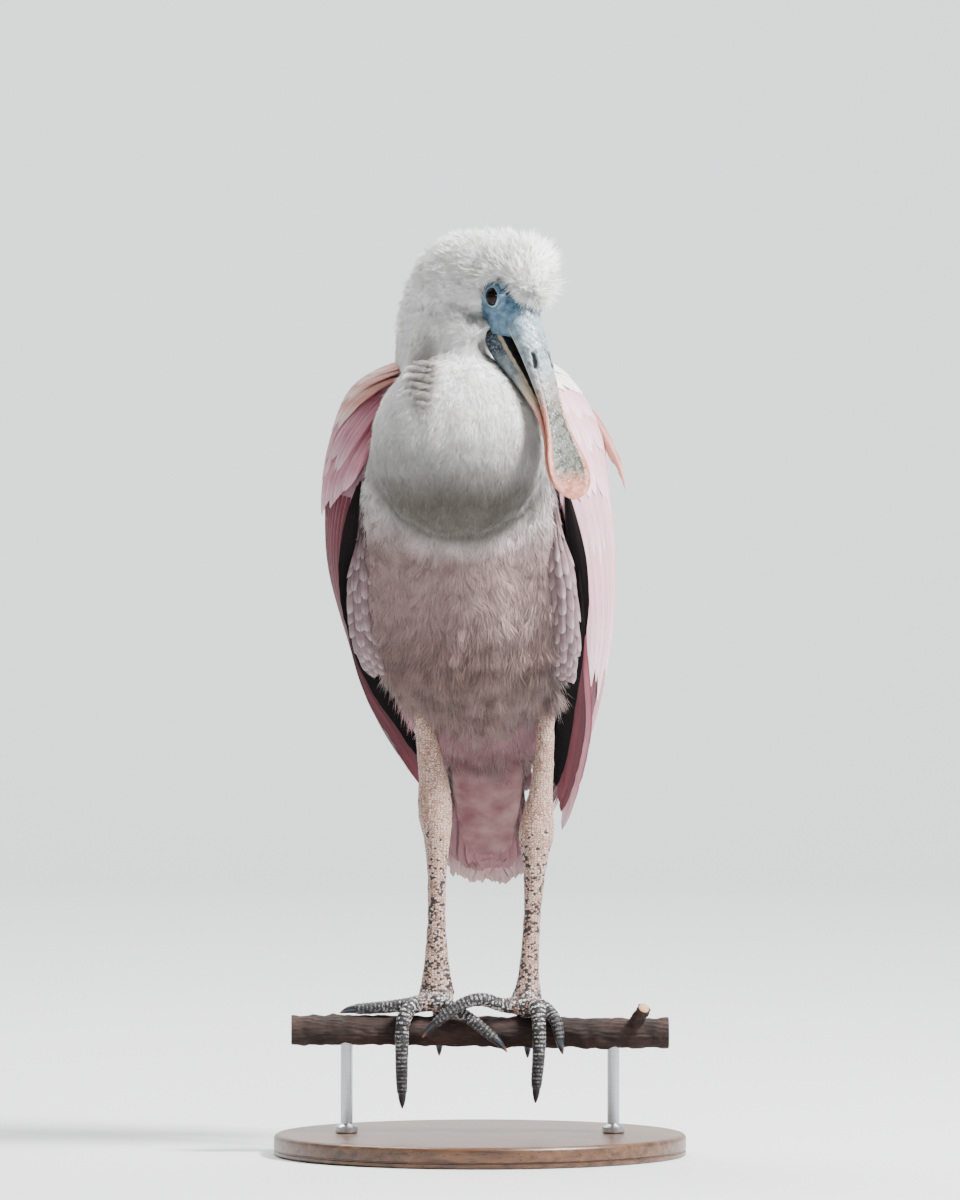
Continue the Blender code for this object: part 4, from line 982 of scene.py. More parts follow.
def grow_down(arrays, weight, count, seed, name, material, length_scale=1.0, sleek=1.0):
    """Tufts of fine barbs that fan from one root each, and lie closer to the body where sleek is less."""
    rng = np.random.default_rng(seed)
    roots, normals, uv = scatter(arrays, weight, count, seed)
    lie = lie_of_down(roots, normals, 40)
    length, width, lift, spread = down_style(roots)
    ruffle = ruffle_share(roots)
    wave = ruffle_wave(roots)
    clump = wobble(roots, 0.009, seed + 3)
    low = step(0.4, 0.34, roots[:, 2])
    length = length * length_scale * (0.8 + 0.4 * rng.random(count)) * (1 + (0.06 + 0.12 * low) * clump)
    _, above, _ = head_measures(roots)
    crown = step(0.004, 0.022, above) * step(0.548, 0.574, roots[:, 2])
    crest = (0.5 * step(0.532, 0.55, roots[:, 2]) + 0.5 * crown) * (rng.random(count) < 0.13)
    length = length * (1 + 1.1 * crest * rng.uniform(0.6, 1.2, count)) * (1 + 0.35 * ruffle * wave)
    width = width * (1 + 0.7 * crest)
    lift = lift * sleek * (0.75 + 0.5 * rng.random(count)) * (1 + (0.15 + 0.2 * low) * clump)
    lift = lift * (1 + 1.2 * crest) + 0.45 * ruffle * np.maximum(wave, 0)
    body = step(0.47, 0.42, roots[:, 2]) * step(1.02, 1.12, bulge_reach(roots))
    streak = wobble(roots * np.array((1.0, 1.0, 0.35)), 0.0032, seed + 7)
    head = step(0.52, 0.54, roots[:, 2])
    # The head's down is drawn lighter: its own whiter down, and painted light on the top of the bird
    tone = 0.62 + 0.14 * head + (0.1 + 0.1 * body) * rng.normal(size=count) + (0.05 + 0.16 * body) * clump
    tone = tone + 0.2 * body * streak
    # In the ruffles the troughs are painted darker and the ridges lighter: painted shade and painted light
    # on the folds
    tone = tone - 0.8 * ruffle * np.maximum(-wave, -0.2)
    tone = np.clip(tone[:, None] + rng.normal(size=(count, BARBS)) * (0.1 + 0.06 * body)[:, None], 0, 1)
    fan = np.linspace(-1, 1, BARBS)[None, :] * spread[:, None]
    fan = fan + rng.normal(size=(count, BARBS)) * 0.1
    long = 1 - 0.22 * np.abs(fan) / spread[:, None] + 0.16 * rng.normal(size=(count, BARBS))
    long = np.clip(length[:, None] * long, SHORTEST_BARB, LONGEST_BARB)
    side = np.cross(normals, lie)
    way = lie[:, None] * np.cos(fan)[..., None] + side[:, None] * np.sin(fan)[..., None]
    normal = np.broadcast_to(normals[:, None], way.shape)
    rise = lift[:, None] * (1 + 0.25 * rng.normal(size=(count, BARBS)))
    ahead = way * np.cos(rise)[..., None] + normal * np.sin(rise)[..., None]
    twist = rng.uniform(-1.1, 1.1, (count, BARBS))
    flat = np.cross(ahead, normal)
    flat = unit(flat) * np.cos(twist)[..., None] + unit(np.cross(flat, ahead)) * np.sin(twist)[..., None]
    root = roots[:, None] - normal * 0.0006 + flat * (rng.normal(size=(count, BARBS)) * 0.0006)[..., None]
    half = (width[:, None] * 0.5 * (0.8 + 0.4 * rng.random((count, BARBS))))[..., None]
    deep = unit(np.cross(flat, ahead))
    corners = np.stack((flat, deep * 0.87 - flat * 0.5, -deep * 0.87 - flat * 0.5), axis=2)
    base = root[:, :, None] + corners * half[:, :, None]
    tip = root + ahead * long[..., None]
    points = np.concatenate((base, tip[:, :, None]), axis=2)
    first = np.arange(count * BARBS)[:, None] * 4
    tris = np.concatenate([first + np.array(turn) for turn in ((1, 0, 3), (2, 1, 3), (0, 2, 3))])
    reach = np.array((0.0, 0.0, 0.0, 1.0))
    along = np.broadcast_to(reach, (count, BARBS, 4))
    tilt = sleek * (0.2 + 0.34 * body + 0.22 * head)[:, None]
    lean = lie * tilt
    tilt = side * tilt * (0.6 * rng.normal(size=(count, 1)) + 0.7 * clump[:, None])
    tilt = tilt + lean * rng.normal(size=(count, 1))
    facing = (normals + tilt)[:, None, None, :]
    round_off = (0.45 + 0.35 * body)[:, None, None, None]
    shade = unit(np.concatenate((facing + corners * round_off, facing + 0 * corners[:, :, :1]), axis=2))
    aside = (np.sin(fan)[..., None] * reach) * 0.0015
    patch = uv[:, None, None] + np.stack((aside, along * 0.003 - 0.0015), axis=-1)
    bag = Bag()
    values = {"along": along.ravel(), "tone": np.repeat(tone.ravel(), 4)}
    bag.add(points, [tris], {"OFBake": patch}, values, shade)
    return bag.make(name, material)


VANE_ROLL = 0.13
SHAFT_RISE = 0.0003
ATLAS_PATCH = 0.018


def add_vane(bag, place, width, long, at, seed, stations=13, columns=6, root=0.35, full=0.62, tip=0.12,
             fray=0.05, camber=0.1):
    """One feather: a cambered, frayed vane on a raised shaft. place(s, a, h) says where it lies."""
    rng = np.random.default_rng(seed)
    s = np.linspace(0, 1, stations)
    rise = root + (1 - root) * np.sin(math.pi / 2 * np.minimum(s / full, 1))
    fall = np.sqrt(np.clip(1 - (np.maximum(s - full, 0) / (1 - full)) ** 2, tip * tip, 1))
    x = np.linspace(-1, 1, columns + 1)
    wide = (rise * fall)[:, None] * np.ones_like(x)[None, :]
    edge = np.abs(x) ** 3
    jag = rng.normal(size=(stations, 2)) * fray * step(0.15, 0.6, s)[:, None]
    for _ in range(2):
        jag[rng.integers(stations // 3, stations), rng.integers(2)] -= fray * 2.4
    wide = wide * (1 + np.where(x[None, :] < 0, jag[:, :1], jag[:, 1:]) * edge[None, :])
    a = width / 2 * wide * x[None, :]
    ragged = rng.normal(size=columns + 1) * fray * 0.35 * width / long
    along = s[:, None] + step(0.55, 1.0, s)[:, None] * ragged[None, :] * 2
    shaft = SHAFT_RISE * np.exp(-(x[None, :] / 0.16) ** 2) * (1 - s[:, None])
    h = -camber * width * x[None, :] ** 2 * wide + shaft
    points = place(along, a, h + np.zeros_like(a))
    tone = float(np.clip(rng.normal(0.5, 0.22), 0, 1))
    aside = at[0] + ATLAS_PATCH * 0.5 * x[None, :] + 0 * along
    maps = {"OFBake": np.stack((aside, at[1] + ATLAS_PATCH * (along - 0.5)), axis=-1),
            "Vane": np.stack((a, along * long), axis=-1)}
    values = {"along": np.clip(along, 0, 1), "tone": tone, "edge": np.abs(x)[None, :] + 0 * along}
    bag.add(points, [grid_faces(stations, columns + 1)], maps, values)


def wing_row(side, row, materials):
    """One row of a wing's feathers, rooted under the row above it."""
    name, count, roots, tips, root_span, tip_span, width, low, high, kind = row
    rng = np.random.default_rng(len(name) * 7 + side)
    bag = Bag()
    for n in range(count):
        share = n / (count - 1)
        r0 = roots[0] + (roots[1] - roots[0]) * share
        ragged = rng.uniform(-0.036, 0.014) * (0.4 if roots[0] < 0.15 else 1.0)
        r1 = tips[0] + (tips[1] - tips[0]) * share + ragged
        c0 = root_span[0] + (root_span[1] - root_span[0]) * share
        c1 = tip_span[0] + (tip_span[1] - tip_span[0]) * share + rng.uniform(-0.012, 0.012)
        lift = rng.uniform(0.0, 0.0005)
        bend = 1.5 if kind == "salmon" else 1.0

        def place(s, a, h):
            down = r0 + (r1 - r0) * s ** bend
            across = c0 + (c1 - c0) * s
            height = low + (high - low) * np.minimum(1.0, s / 0.6) + a * VANE_ROLL + lift * s
            return wing_surface(side, down, across + a / wing_arc(side, (r0 + r1) / 2), height + h)

        long = float(np.linalg.norm(wing_surface(side, r1, c1, 0.0) - wing_surface(side, r0, c0, 0.0)))
        at = (0.04 + 0.9 * c0, 0.04 + 0.9 * r0)
        stations = 22 if long > 0.08 else 12
        fray = 0.13 if kind in ("white", "salmon") else 0.05
        wide = width * rng.uniform(0.92, 1.08)
        add_vane(bag, place, wide, long, at, 1000 + n + 31 * side, stations, fray=fray)
    return bag.make(f"wing_{side_name(side)}_{name}", materials[kind])


# The folded feathers between flank and wing: start and end of each, place aside, width and height
BLACK_FAN = [(0.02, 0.56, -0.003, 0.009, 0.0), (0.04, 0.66, 0.0015, 0.009, 0.0007),
             (0.3, 0.88, -0.002, 0.009, 0.0014), (0.36, 0.96, 0.002, 0.009, 0.0021),
             (0.45, 1.0, -0.002, 0.009, 0.0028)]
# The folded secondaries, coloured as crimson with painted shade
CRIMSON_IN_SHADE_FAN = {
    RIGHT: [(0.44, 1.18, 0.0098, 0.0115, -0.003), (0.4, 1.16, 0.0055, 0.0135, -0.0022),
            (0.36, 1.12, 0.001, 0.0135, -0.0014)],
    LEFT: [(0.54, 1.1, 0.012, 0.011, -0.0016), (0.5, 1.06, 0.007, 0.011, -0.001)],
}
ROSE_FAN = {RIGHT: [(0.46, 1.1, 0.0125, 0.006, -0.0036)], LEFT: [(0.48, 1.17, 0.018, 0.011, -0.0026)]}


def folded_feathers(side, fan, name, material):
    """A fan of narrow vanes, laid one behind the other between the flank and the wing's front edge."""
    bag = Bag()
    rows = FOLDED_PRIMARIES[side]
    for n, (start, end, aside, width, height) in enumerate(fan):

        def place(s, a, h):
            at = start + (end - start) * s
            near = np.clip(at, 0.02, 0.98)
            ahead = curve(rows, near + 0.02) - curve(rows, near - 0.02)
            across = unit(np.cross(ahead, (0.0, -1.0, 0.0)))
            shift = aside * (0.25 + 0.75 * step(0.0, 0.55, s)) * (1 - 0.6 * s) * -side + a
            beyond = np.maximum(at - 1, 0)[..., None] * 6 * (np.array(rows[-1]) - np.array(rows[-2]))
            middle = curve(rows, at) + beyond
            return middle + across * shift[..., None] + np.array((0, -1, 0)) * (h + height)[..., None]

        at_map = (0.2 + 0.15 * n, 0.5)
        add_vane(bag, place, width, 0.11, at_map, 90 + n + side, 26, 6, 0.12, 0.45, 0.05, 0.03, 0.06)
    return bag.make(f"wing_{side_name(side)}_{name}", material)


def wing_arm(side, material):
    """The closed arm and hand that the feathers root on."""
    down = np.linspace(0.02, ARM_REACH, 22)[:, None]
    across = np.linspace(-0.01, 0.97, 20)[None, :]
    thick = 0.012 * (1 - 0.8 * (down / ARM_REACH) ** 1.5) * np.sin(math.pi * (0.1 + 0.8 * across))
    outer = wing_surface(side, down, across, -0.0022 + 0 * across)
    inner = wing_surface(side, down, across, -0.0026 - thick)
    rows, columns = outer.shape[:2]
    faces = grid_faces(rows, columns)
    rim = np.concatenate((np.arange(columns), np.arange(1, rows) * columns + columns - 1,
                          (rows - 1) * columns + np.arange(columns - 2, -1, -1),
                          np.arange(rows - 2, 0, -1) * columns))
    after = np.roll(rim, -1)
    wall = np.stack((rim, after, after + rows * columns, rim + rows * columns), axis=-1)
    bag = Bag()
    bag.add(np.concatenate((outer.reshape(-1, 3), inner.reshape(-1, 3))),
            [faces, faces[:, ::-1] + rows * columns, wall])
    name = "wing_" + side_name(side)
    return bag.make(name + "_arm", material, (name,))


def loose_feather(material):
    """The scapular that stands off the left shoulder and hooks down, split into three strands."""
    bag = Bag()
    for n, (off, wide, end) in enumerate(((0.0, 1.0, 1.0), (0.0022, 0.7, 0.9), (-0.0018, 0.6, 0.78))):
        def place(s, a, h):
            row = curve(LOOSE_FEATHER, s * end)
            across = np.broadcast_to((0.8, -0.25, 0.55), (*a.shape, 3))
            shift = np.array((0.0, -1.0, 0.2)) * (h + off * s)[..., None]
            return row[..., :3] + across * (a * wide * row[..., 3] / 0.0042)[..., None] + shift

        add_vane(bag, place, 0.0075, 0.068, (0.1 + 0.3 * n, 0.5), 70 + n, 20, 6, 0.6, 0.5, 0.15, 0.12)
    return bag.make("loose_scapular", material)


# A row of mantle feathers: count, roots and tips down the mantle, and how far it reaches to each side
MANTLE_ROWS = [
    (9, -0.02, 0.24, 0.8),
    (9, 0.08, 0.38, 0.72),
    (8, 0.2, 0.52, 0.62),
    (7, 0.32, 0.68, 0.52),
    (6, 0.46, 0.86, 0.42),
    (5, 0.62, 1.06, 0.34),
]


def mantle(materials):
    """The feathers of the upper back, in overlapping rows between the wings."""
    bag = Bag()
    rng = np.random.default_rng(9)
    for row, (count, first, last, reach) in enumerate(MANTLE_ROWS):
        for n in range(count):
            spread = (2 * n / (count - 1) - 1) * reach
            jitter = rng.uniform(-0.02, 0.02)

            def place(s, a, h):
                down = first + (last + jitter - first) * s
                height = -0.0045 - 0.0004 * row + 0.006 * np.minimum(1.0, s / 0.6) + a * VANE_ROLL
                return mantle_surface(down, spread * (1 - 0.1 * s) + a / 0.075, height + h)

            at_map = (0.5 + spread / 2, 0.1 + 0.8 * first + 0.03)
            add_vane(bag, place, 0.017, (last - first) * MANTLE_DROP, at_map, 300 + n + 20 * row)
    return bag.make("mantle_feathers", materials["pale"], ("mantle",))


def tail_point(ahead, aside, lift):
    along = np.array((0, math.cos(TAIL_SLANT), -math.sin(TAIL_SLANT)))
    over = np.array((0, math.sin(TAIL_SLANT), math.cos(TAIL_SLANT)))
    ahead, aside, lift = (np.asarray(v, float)[..., None] for v in (ahead, aside, lift))
    return TAIL_ROOT + along * ahead + np.array((1.0, 0, 0)) * aside + over * lift


# A row of tail feathers: name, count, root, tip in the middle and at the edge, half the spread at the
# root and at the tip, width, height and the vane it is made of
TAIL_FEATHERS = [
    ("rectrices", 12, 0.03, 0.995, 0.945, 0.018, 0.02, 0.017, 0.0, "tail"),
    ("undertail_coverts", 7, 0.03, 0.87, 0.79, 0.02, 0.0165, 0.018, -0.0046, "vent"),
    ("uppertail_coverts_long", 7, 0.02, 0.66, 0.56, 0.021, 0.019, 0.016, 0.0042, "pale"),
    ("uppertail_coverts_short", 7, -0.01, 0.42, 0.36, 0.024, 0.023, 0.016, 0.0078, "pale"),
]


def tail_row(row, materials):
    name, count, first, middle, edge, root_half, tip_half, width, height, kind = row
    rng = np.random.default_rng(count)
    bag = Bag()
    for n in range(count):
        spread = 2 * n / (count - 1) - 1
        lobe = 0.035 * math.exp(-((abs(spread) - 0.42) / 0.22) ** 2) - 0.03 if kind == "tail" else 0.0
        reach = TAIL_LENGTH * (middle + (edge - middle) * spread * spread + lobe
                               + rng.uniform(-0.03, 0.02) * (kind == "vent"))
        from_edge = count / 2 - abs(n - (count - 1) / 2)
        stack = (0.0003 if kind == "vent" else 0.0009) * from_edge * (6 / count)

        def place(s, a, h):
            ahead = first + (reach - first) * s
            aside = spread * (0.75 * root_half + (tip_half - 0.75 * root_half) * s) + a
            bend = -0.004 * (aside / 0.03) ** 2
            lift = height * (1.0 - 0.25 * s) + math.copysign(stack, height or 1) + bend
            return tail_point(ahead, aside, lift - 0.05 * a * spread + h)

        fray = 0.1 if kind == "tail" else 0.03
        at_map = (0.5 + 0.4 * spread, 0.2 + 0.1 * count / 12)
        add_vane(bag, place, width, reach - first, at_map, 500 + n, 20, 8, 0.55, 0.8, 0.35, fray, 0.06)
    return bag.make("tail_" + name, materials[kind])


# The tail's root is a flat body: distance down the tail, half its width, reach up and reach down
TAIL_BODY = [(-0.01, 0.0235, 0.002, 0.015), (0.02, 0.0245, 0.0015, 0.013), (0.05, 0.0225, 0.001, 0.0098),
             (0.08, 0.0195, 0.0002, 0.0062), (0.1, 0.017, 0.0002, 0.003)]


def tail_root(skin, down, count):
    """The tail's flat root, and the sleek down that covers its underside."""
    rows = [(*tail_point(reach, 0, 0), wide, high, deep) for reach, wide, high, deep in TAIL_BODY]
    over = np.array((0, math.sin(TAIL_SLANT), math.cos(TAIL_SLANT)))
    points, faces, _, _ = tube(rows, 60, 64, over, ends=(0.1, 0.1), power=2.6)
    # It bends down at the sides as the feathers do, and lies under them
    drop = 0.0012 + 0.004 * ((points[:, 0] - TAIL_ROOT[0]) / 0.03) ** 2
    bag = Bag()
    bag.add(points - over * drop[:, None], faces)
    root = bag.make("tail_root", skin, ("tail",))
    unwrap(root)
    arrays = mesh_arrays(root.data)
    corners, points, normals = arrays[:3]
    below = normals[corners].mean(1) @ over < 0.25
    weight = below * (points[corners].mean(1)[:, 2] < 0.266)
    grow_down(arrays, weight, count, 18, "down_undertail", down, 0.56, 0.5)


FLANK_RADIUS = 0.0086


def flank(side, materials, skin):
    """The column of small rounded feathers that hangs between the breast and the wing."""
    name = "flank_" + side_name(side)
    rows = [(x, y, z, FLANK_RADIUS * k, FLANK_RADIUS * k, FLANK_RADIUS * 1.2)
            for (x, y, z), k in zip(FLANKS[side], (0.22, 0.55, 0.9, 0.72))]
    core = Bag()
    points, faces, _, _ = tube(rows, 24, 20, (0, -1, 0), ends=(0.16, 0.14))
    core.add(points, faces)
    core.make(name + "_core", skin, (name,))
    bag = Bag()
    rng = np.random.default_rng(60 + side)
    for line in range(12):
        for column in range(4):
            start = -0.06 + (line + 0.5 * (column % 2)) * 0.077
            angle = (column - 1.5) * 0.66 + rng.uniform(-0.16, 0.16)
            end = start + 0.165 + rng.uniform(-0.02, 0.02)

            def place(s, a, h):
                down = start + (end - start) * s
                centre = curve(FLANKS[side], down)
                beyond = np.maximum(down - 1.0, 0) * 0.14
                turn = angle * (1 - 0.35 * s * (down > 0.8)) + a / FLANK_RADIUS
                full = 0.3 + 0.75 * step(0.2, 0.44, down)
                out = FLANK_RADIUS * full * (0.9 + 0.1 * step(0.0, 0.6, s)) + h + 0.0014 * s
                shift = np.stack((np.sin(turn) * out, -np.cos(turn) * out, -beyond), axis=-1)
                return centre + shift

            wide = 0.0108 * rng.uniform(0.85, 1.15)
            at_map = (0.1 + 0.2 * column, 0.08 + 0.065 * line)
            seed = 700 + line * 4 + column
            add_vane(bag, place, wide, 0.022, at_map, seed, 12, 8, 0.5, 0.5, 0.12, 0.05, 0.3)
    return bag.make(name + "_feathers", materials["flank"])


def bill_half(name, rows, table, material):
    """One mandible: a spoon on a narrow shaft, with a raised rim, a groove inside it and rough horn."""
    lofted = []
    for ahead, low, high, half in table:
        middle = low + 0.35 * (high - low)
        lofted.append((*head_point(ahead, middle), half, high - middle, middle - low))
    upward = head_axes()[1]
    points, faces, _, _ = tube(lofted, rows, 96, upward, ends=(0.04, 0.09), power=2.3)
    ahead, above, aside = head_measures(points)
    steps = np.linspace(0, 1, 200)
    fine = curve(table, steps)
    half = np.interp(ahead, fine[:, 0], fine[:, 3])
    middle = np.interp(ahead, fine[:, 0], fine[:, 1] + 0.35 * (fine[:, 2] - fine[:, 1]))
    across = np.clip(aside / np.maximum(half, 0.002), -1.1, 1.1)
    top = step(-0.0004, 0.0006, above - middle)
    spoon = step(0.06, 0.085, ahead)
    rim = step(0.74, 0.86, np.abs(across)) * spoon
    groove = np.exp(-((np.abs(across) - 0.7) / 0.05) ** 2)
    groove = groove * step(0.03, 0.06, ahead) * step(0.14, 0.128, ahead)
    rough = wobble(points, 0.0045, 21) * 0.00022 + wobble(points, 0.0016, 22) * 0.00008
    lift = 0.00045 * rim - 0.00055 * groove + rough * (1 - rim)
    if name == "bill_upper":
        along = (ahead - NOSTRIL_AT) / (NOSTRIL_LENGTH / 2)
        slit = np.abs(np.abs(aside) - NOSTRIL_SIDE - 0.0003 * along) / 0.0017
        hole = np.clip(1 - along**2, 0, 1) * np.clip(1 - slit**2, 0, 1)
        lip = 0.0003 * np.exp(-((slit - 1.5) / 0.5) ** 2) * (np.abs(along) < 1.1)
        lift = lift - 0.0026 * np.sqrt(hole) + lip
        ridge = np.exp(-(across / 0.35) ** 2) * step(0.07, 0.03, ahead)
        lift = lift + 0.0006 * ridge
    else:
        hole = np.zeros(len(points))
    points = points + upward * (lift * top)[:, None]
    bag = Bag()
    reach_up = np.interp(ahead, fine[:, 0], 0.65 * (fine[:, 2] - fine[:, 1]))
    share = (above - middle) / np.maximum(np.where(above > middle, reach_up, reach_up * 0.54), 0.0005)
    edge = step(-0.15, -0.45, share) if name == "bill_upper" else step(0.05, 0.4, share)
    bag.add(points, faces, None, {"across": across, "ahead": ahead, "top": top, "edge": edge, "hole": hole})
    return bag.make(name + "_horn", material, (name,))


def horn_material(upper):
    """Horn of a live bill: grey-blue plates, scuffed white near the face, flesh-pink on the spoon's rim."""
    nodes = Surface("bill_horn_" + ("upper" if upper else "lower"), roughness=0.42, ior=1.54)
    place = nodes.place()
    ahead = nodes.read("ahead")
    across = nodes.read("across")
    top = nodes.read("top")
    hole = nodes.read("hole")
    side = nodes.math("ABSOLUTE", across)
    # Worn horn has cracks about 3 mm apart, bent by its growth
    bend = nodes.noise(place, 0.004, 2.0, out=1)
    bent = nodes.vector("MULTIPLY_ADD", bend, (0.004, 0.004, 0.004), place)
    cells = nodes.cells(bent, 0.0032, feature="DISTANCE_TO_EDGE")
    cracks = nodes.ramp(cells, 0.03, 0.16)
    cloud = nodes.ramp(nodes.noise(place, 0.006, 5.0, 0.65), 0.38, 0.64)
    fine = nodes.noise(place, 0.0016, 4.0, 0.6)
    blots = nodes.ramp(fine, 0.5, 0.58)
    # The shaft: pale grey-blue, stained brown towards the spoon
    choices = bpy.context.scene.spoonbill_bare
    colour = nodes.mix(cloud, "#68757C", tuple(choices.bill))
    stain = nodes.soft(ahead, 0.046, 0.072, 0.0, 0.8)
    colour = nodes.mix(stain, colour, "#8F8778")
    # The spoon: olive-grey and mottled
    spoon = nodes.soft(ahead, 0.064, 0.088)
    olive = nodes.mix(cloud, "#2E312A", "#61645B")
    faint = nodes.ramp(blots, 0.0, 1.0, 0.0, 0.55)
    olive = nodes.mix(faint, olive, "#4E5047")
    colour = nodes.mix(spoon, colour, olive)
    # Near the face the horn is bluer, and its cracks are black
    base = nodes.soft(ahead, 0.042, 0.02)
    blue = nodes.mix(cloud, "#5C7482", "#8A9EA9")
    colour = nodes.mix(base, colour, blue)
    if not upper:
        dark = nodes.mix(cracks, "#17181B", "#5F7380")
        dark = nodes.mix(blots, dark, "#2B2E33")
        near = nodes.soft(ahead, 0.046, 0.03)
        colour = nodes.mix(near, colour, dark)
    scuff = nodes.noise(place, 0.005, 6.0, 0.7)
    white = nodes.ramp(scuff, 0.6, 0.64)
    near = nodes.soft(ahead, 0.05, 0.034)
    middle = nodes.soft(side, 0.75, 0.45)
    white = nodes.times(white, near)
    white = nodes.times(white, middle if upper else 0.2)
    colour = nodes.mix(white, colour, "#EDEDEA")
    brown = nodes.ramp(scuff, 0.43, 0.37, 0.0, 0.8)
    colour = nodes.mix(brown, colour, "#5E4A3C")
    # A dark, broken groove runs inside the rim
    away = nodes.math("SUBTRACT", side, 0.6)
    away = nodes.math("ABSOLUTE", away)
    groove = nodes.times(nodes.soft(away, 0.16, 0.04), blots)
    groove = nodes.times(groove, spoon)
    groove = nodes.times(groove, top)
    colour = nodes.mix(groove, colour, "#35352F")
    rim = nodes.times(nodes.soft(side, 0.66, 0.82), spoon)
    nail = nodes.soft(ahead, 0.12, 0.136)
    rim = nodes.math("MAXIMUM", rim, nail)
    pink = nodes.mix(cloud, "#A05C4A", tuple(choices.rim))
    wrinkle = nodes.times(blots, 0.3)
    pink = nodes.mix(wrinkle, pink, "#9A6A58")
    colour = nodes.mix(rim, colour, pink)
    # The cutting edges are cream, and between them the inside of the bill is painted black, as painted shade
    # in the gap between the mandibles
    cream = nodes.mix(spoon, "#CDB99F", "#CF8E7D")
    lip = nodes.math("SUBTRACT", 1.0, top) if upper else top
    edge = nodes.read("edge")
    low, high = (0.76, 0.86) if upper else (0.62, 0.68)
    outer = nodes.soft(side, low, high)
    if upper:
        outer = nodes.times(outer, edge)
    else:
        thin = nodes.soft(side, 0.84, 0.76)
        wide = nodes.soft(ahead, 0.048, 0.072)
        thin = nodes.math("MAXIMUM", thin, wide)
        outer = nodes.times(outer, thin)
        outer = nodes.times(outer, top)
    inner = nodes.times(nodes.soft(side, high, low), lip)
    colour = nodes.mix(outer, colour, cream)
    colour = nodes.mix(inner, colour, "#141012")
    # The nostril's slit is painted near-black: painted shade in the hole
    dark = nodes.ramp(hole, 0.05, 0.3)
    colour = nodes.mix(dark, colour, "#101116")
    grain = nodes.times(fine, 0.6)
    relief = nodes.math("ADD", cracks, grain)
    bump = nodes.bump(relief, 0.35, 0.0004)
    gloss = nodes.ramp(cloud, 0.0, 1.0, 0.32, 0.55)
    return nodes.paint(colour, bump, gloss)


# The lid's section runs from the bare skin over two folds to the rim on the eye: reach out and height
LID_SECTION = [
    (0.0094, -0.003), (0.0086, -0.0006), (0.008, 0.0004), (0.0075, 0.0006), (0.0071, 0.0003),
    (0.0067, 0.001), (0.0063, 0.0016), (0.0059, 0.0017), (0.0056, 0.0012), (0.0054, 0.0002),
]


def eye_place(side):
    """The middle of an eye, the way that it looks, and the ways forward and up from it."""
    forward, _, leftward = head_axes()
    way = leftward * side
    return HEAD_ORIGIN + leftward * (side * EYE_APART / 2), way, forward, np.cross(way, forward)


def face_skin(material):
    """The bare skin round the eyes and the gape, with fine folds and a fold of lid round each eye."""
    bag = Bag()
    rows = [(*head_point(s, t), wide, above, below) for s, t, wide, above, below in FACE]
    upward = head_axes()[1]
    points, faces, _, _ = tube(rows, 90, 120, upward, ends=(0.16, 0.1), power=2.4)
    middle = head_point(0.004, -0.004)
    outward = unit(points - middle)
    folds = wobble(points, 0.0034, 5) * 0.00022 + wobble(points, 0.0014, 6) * 0.0001
    points = points + outward * folds[:, None]
    bag.add(points, faces, None, {"lid": 0.0})
    for side in (RIGHT, LEFT):
        centre, way, forward, up = eye_place(side)
        section = curve(LID_SECTION, np.linspace(0, 1, 40))
        turn = np.linspace(0, 2 * math.pi, 96, endpoint=False)
        oval = 1 + 0.05 * np.cos(2 * turn)[None, :]
        radius = section[:, :1] * oval
        height = section[:, 1:] + 0 * oval + 0.0022
        ring = (centre + way * height[..., None] + forward * (radius * np.cos(turn))[..., None]
                + up * (radius * np.sin(turn))[..., None])
        ring = ring + way * (wobble(ring, 0.0022, 8 + side) * 0.00018)[..., None]
        lid = step(0.0078, 0.0066, radius)
        bag.add(ring, [grid_faces(40, 96, wrap=True)], None, {"lid": lid.ravel()})
    return bag.make("face_skin", material, ("face",))


def bare_skin_material():
    """Bare bird skin: thin, faintly moist, blue-grey with fine creases, paler on the lids."""
    nodes = Surface("bare_blue_skin", roughness=0.48, ior=1.42, subsurface_weight=0.1,
                                     subsurface_scale=0.002)
    place = nodes.place()
    lid = nodes.read("lid")
    cloud = nodes.ramp(nodes.noise(place, 0.005, 4.0, 0.6), 0.36, 0.66)
    # Skin papillae are under a millimetre across
    cells = nodes.cells(place, 0.0009)
    blue = tuple(bpy.context.scene.spoonbill_bare.face)
    colour = nodes.mix(cloud, "#3C5A70", blue)
    pale = nodes.mix(lid, colour, "#86A0B0")
    bump = nodes.bump(cells, 0.45, 0.0002)
    return nodes.paint(pale, bump)


EYE_RINGS = 60
EYE_SIDES = 72
CORNEA_RISE = 0.0006


def eyeball(side, material):
    """The eye, with the cornea's bulge over its iris."""
    centre, way, forward, up = eye_place(side)
    polar = np.linspace(0.02, math.pi - 0.02, EYE_RINGS)[:, None]
    turn = np.linspace(0, 2 * math.pi, EYE_SIDES, endpoint=False)[None, :]
    radius = EYE_RADIUS - 0.0002 + CORNEA_RISE * np.exp(-(polar / 0.55) ** 2)
    ring = (centre + way * (radius * np.cos(polar) + 0 * turn)[..., None]
            + forward * (radius * np.sin(polar) * np.cos(turn))[..., None]
            + up * (radius * np.sin(polar) * np.sin(turn))[..., None])
    points = np.concatenate((ring.reshape(-1, 3), (ring[0].mean(0), ring[-1].mean(0))))
    iris = np.concatenate(((polar + 0 * turn).ravel(), (0.0, math.pi)))
    bag = Bag()
    bag.add(points, capped_faces(EYE_RINGS, EYE_SIDES), None, {"iris": iris})
    name = "eye_" + side_name(side)
    return bag.make(name + "_ball", material, (name,))


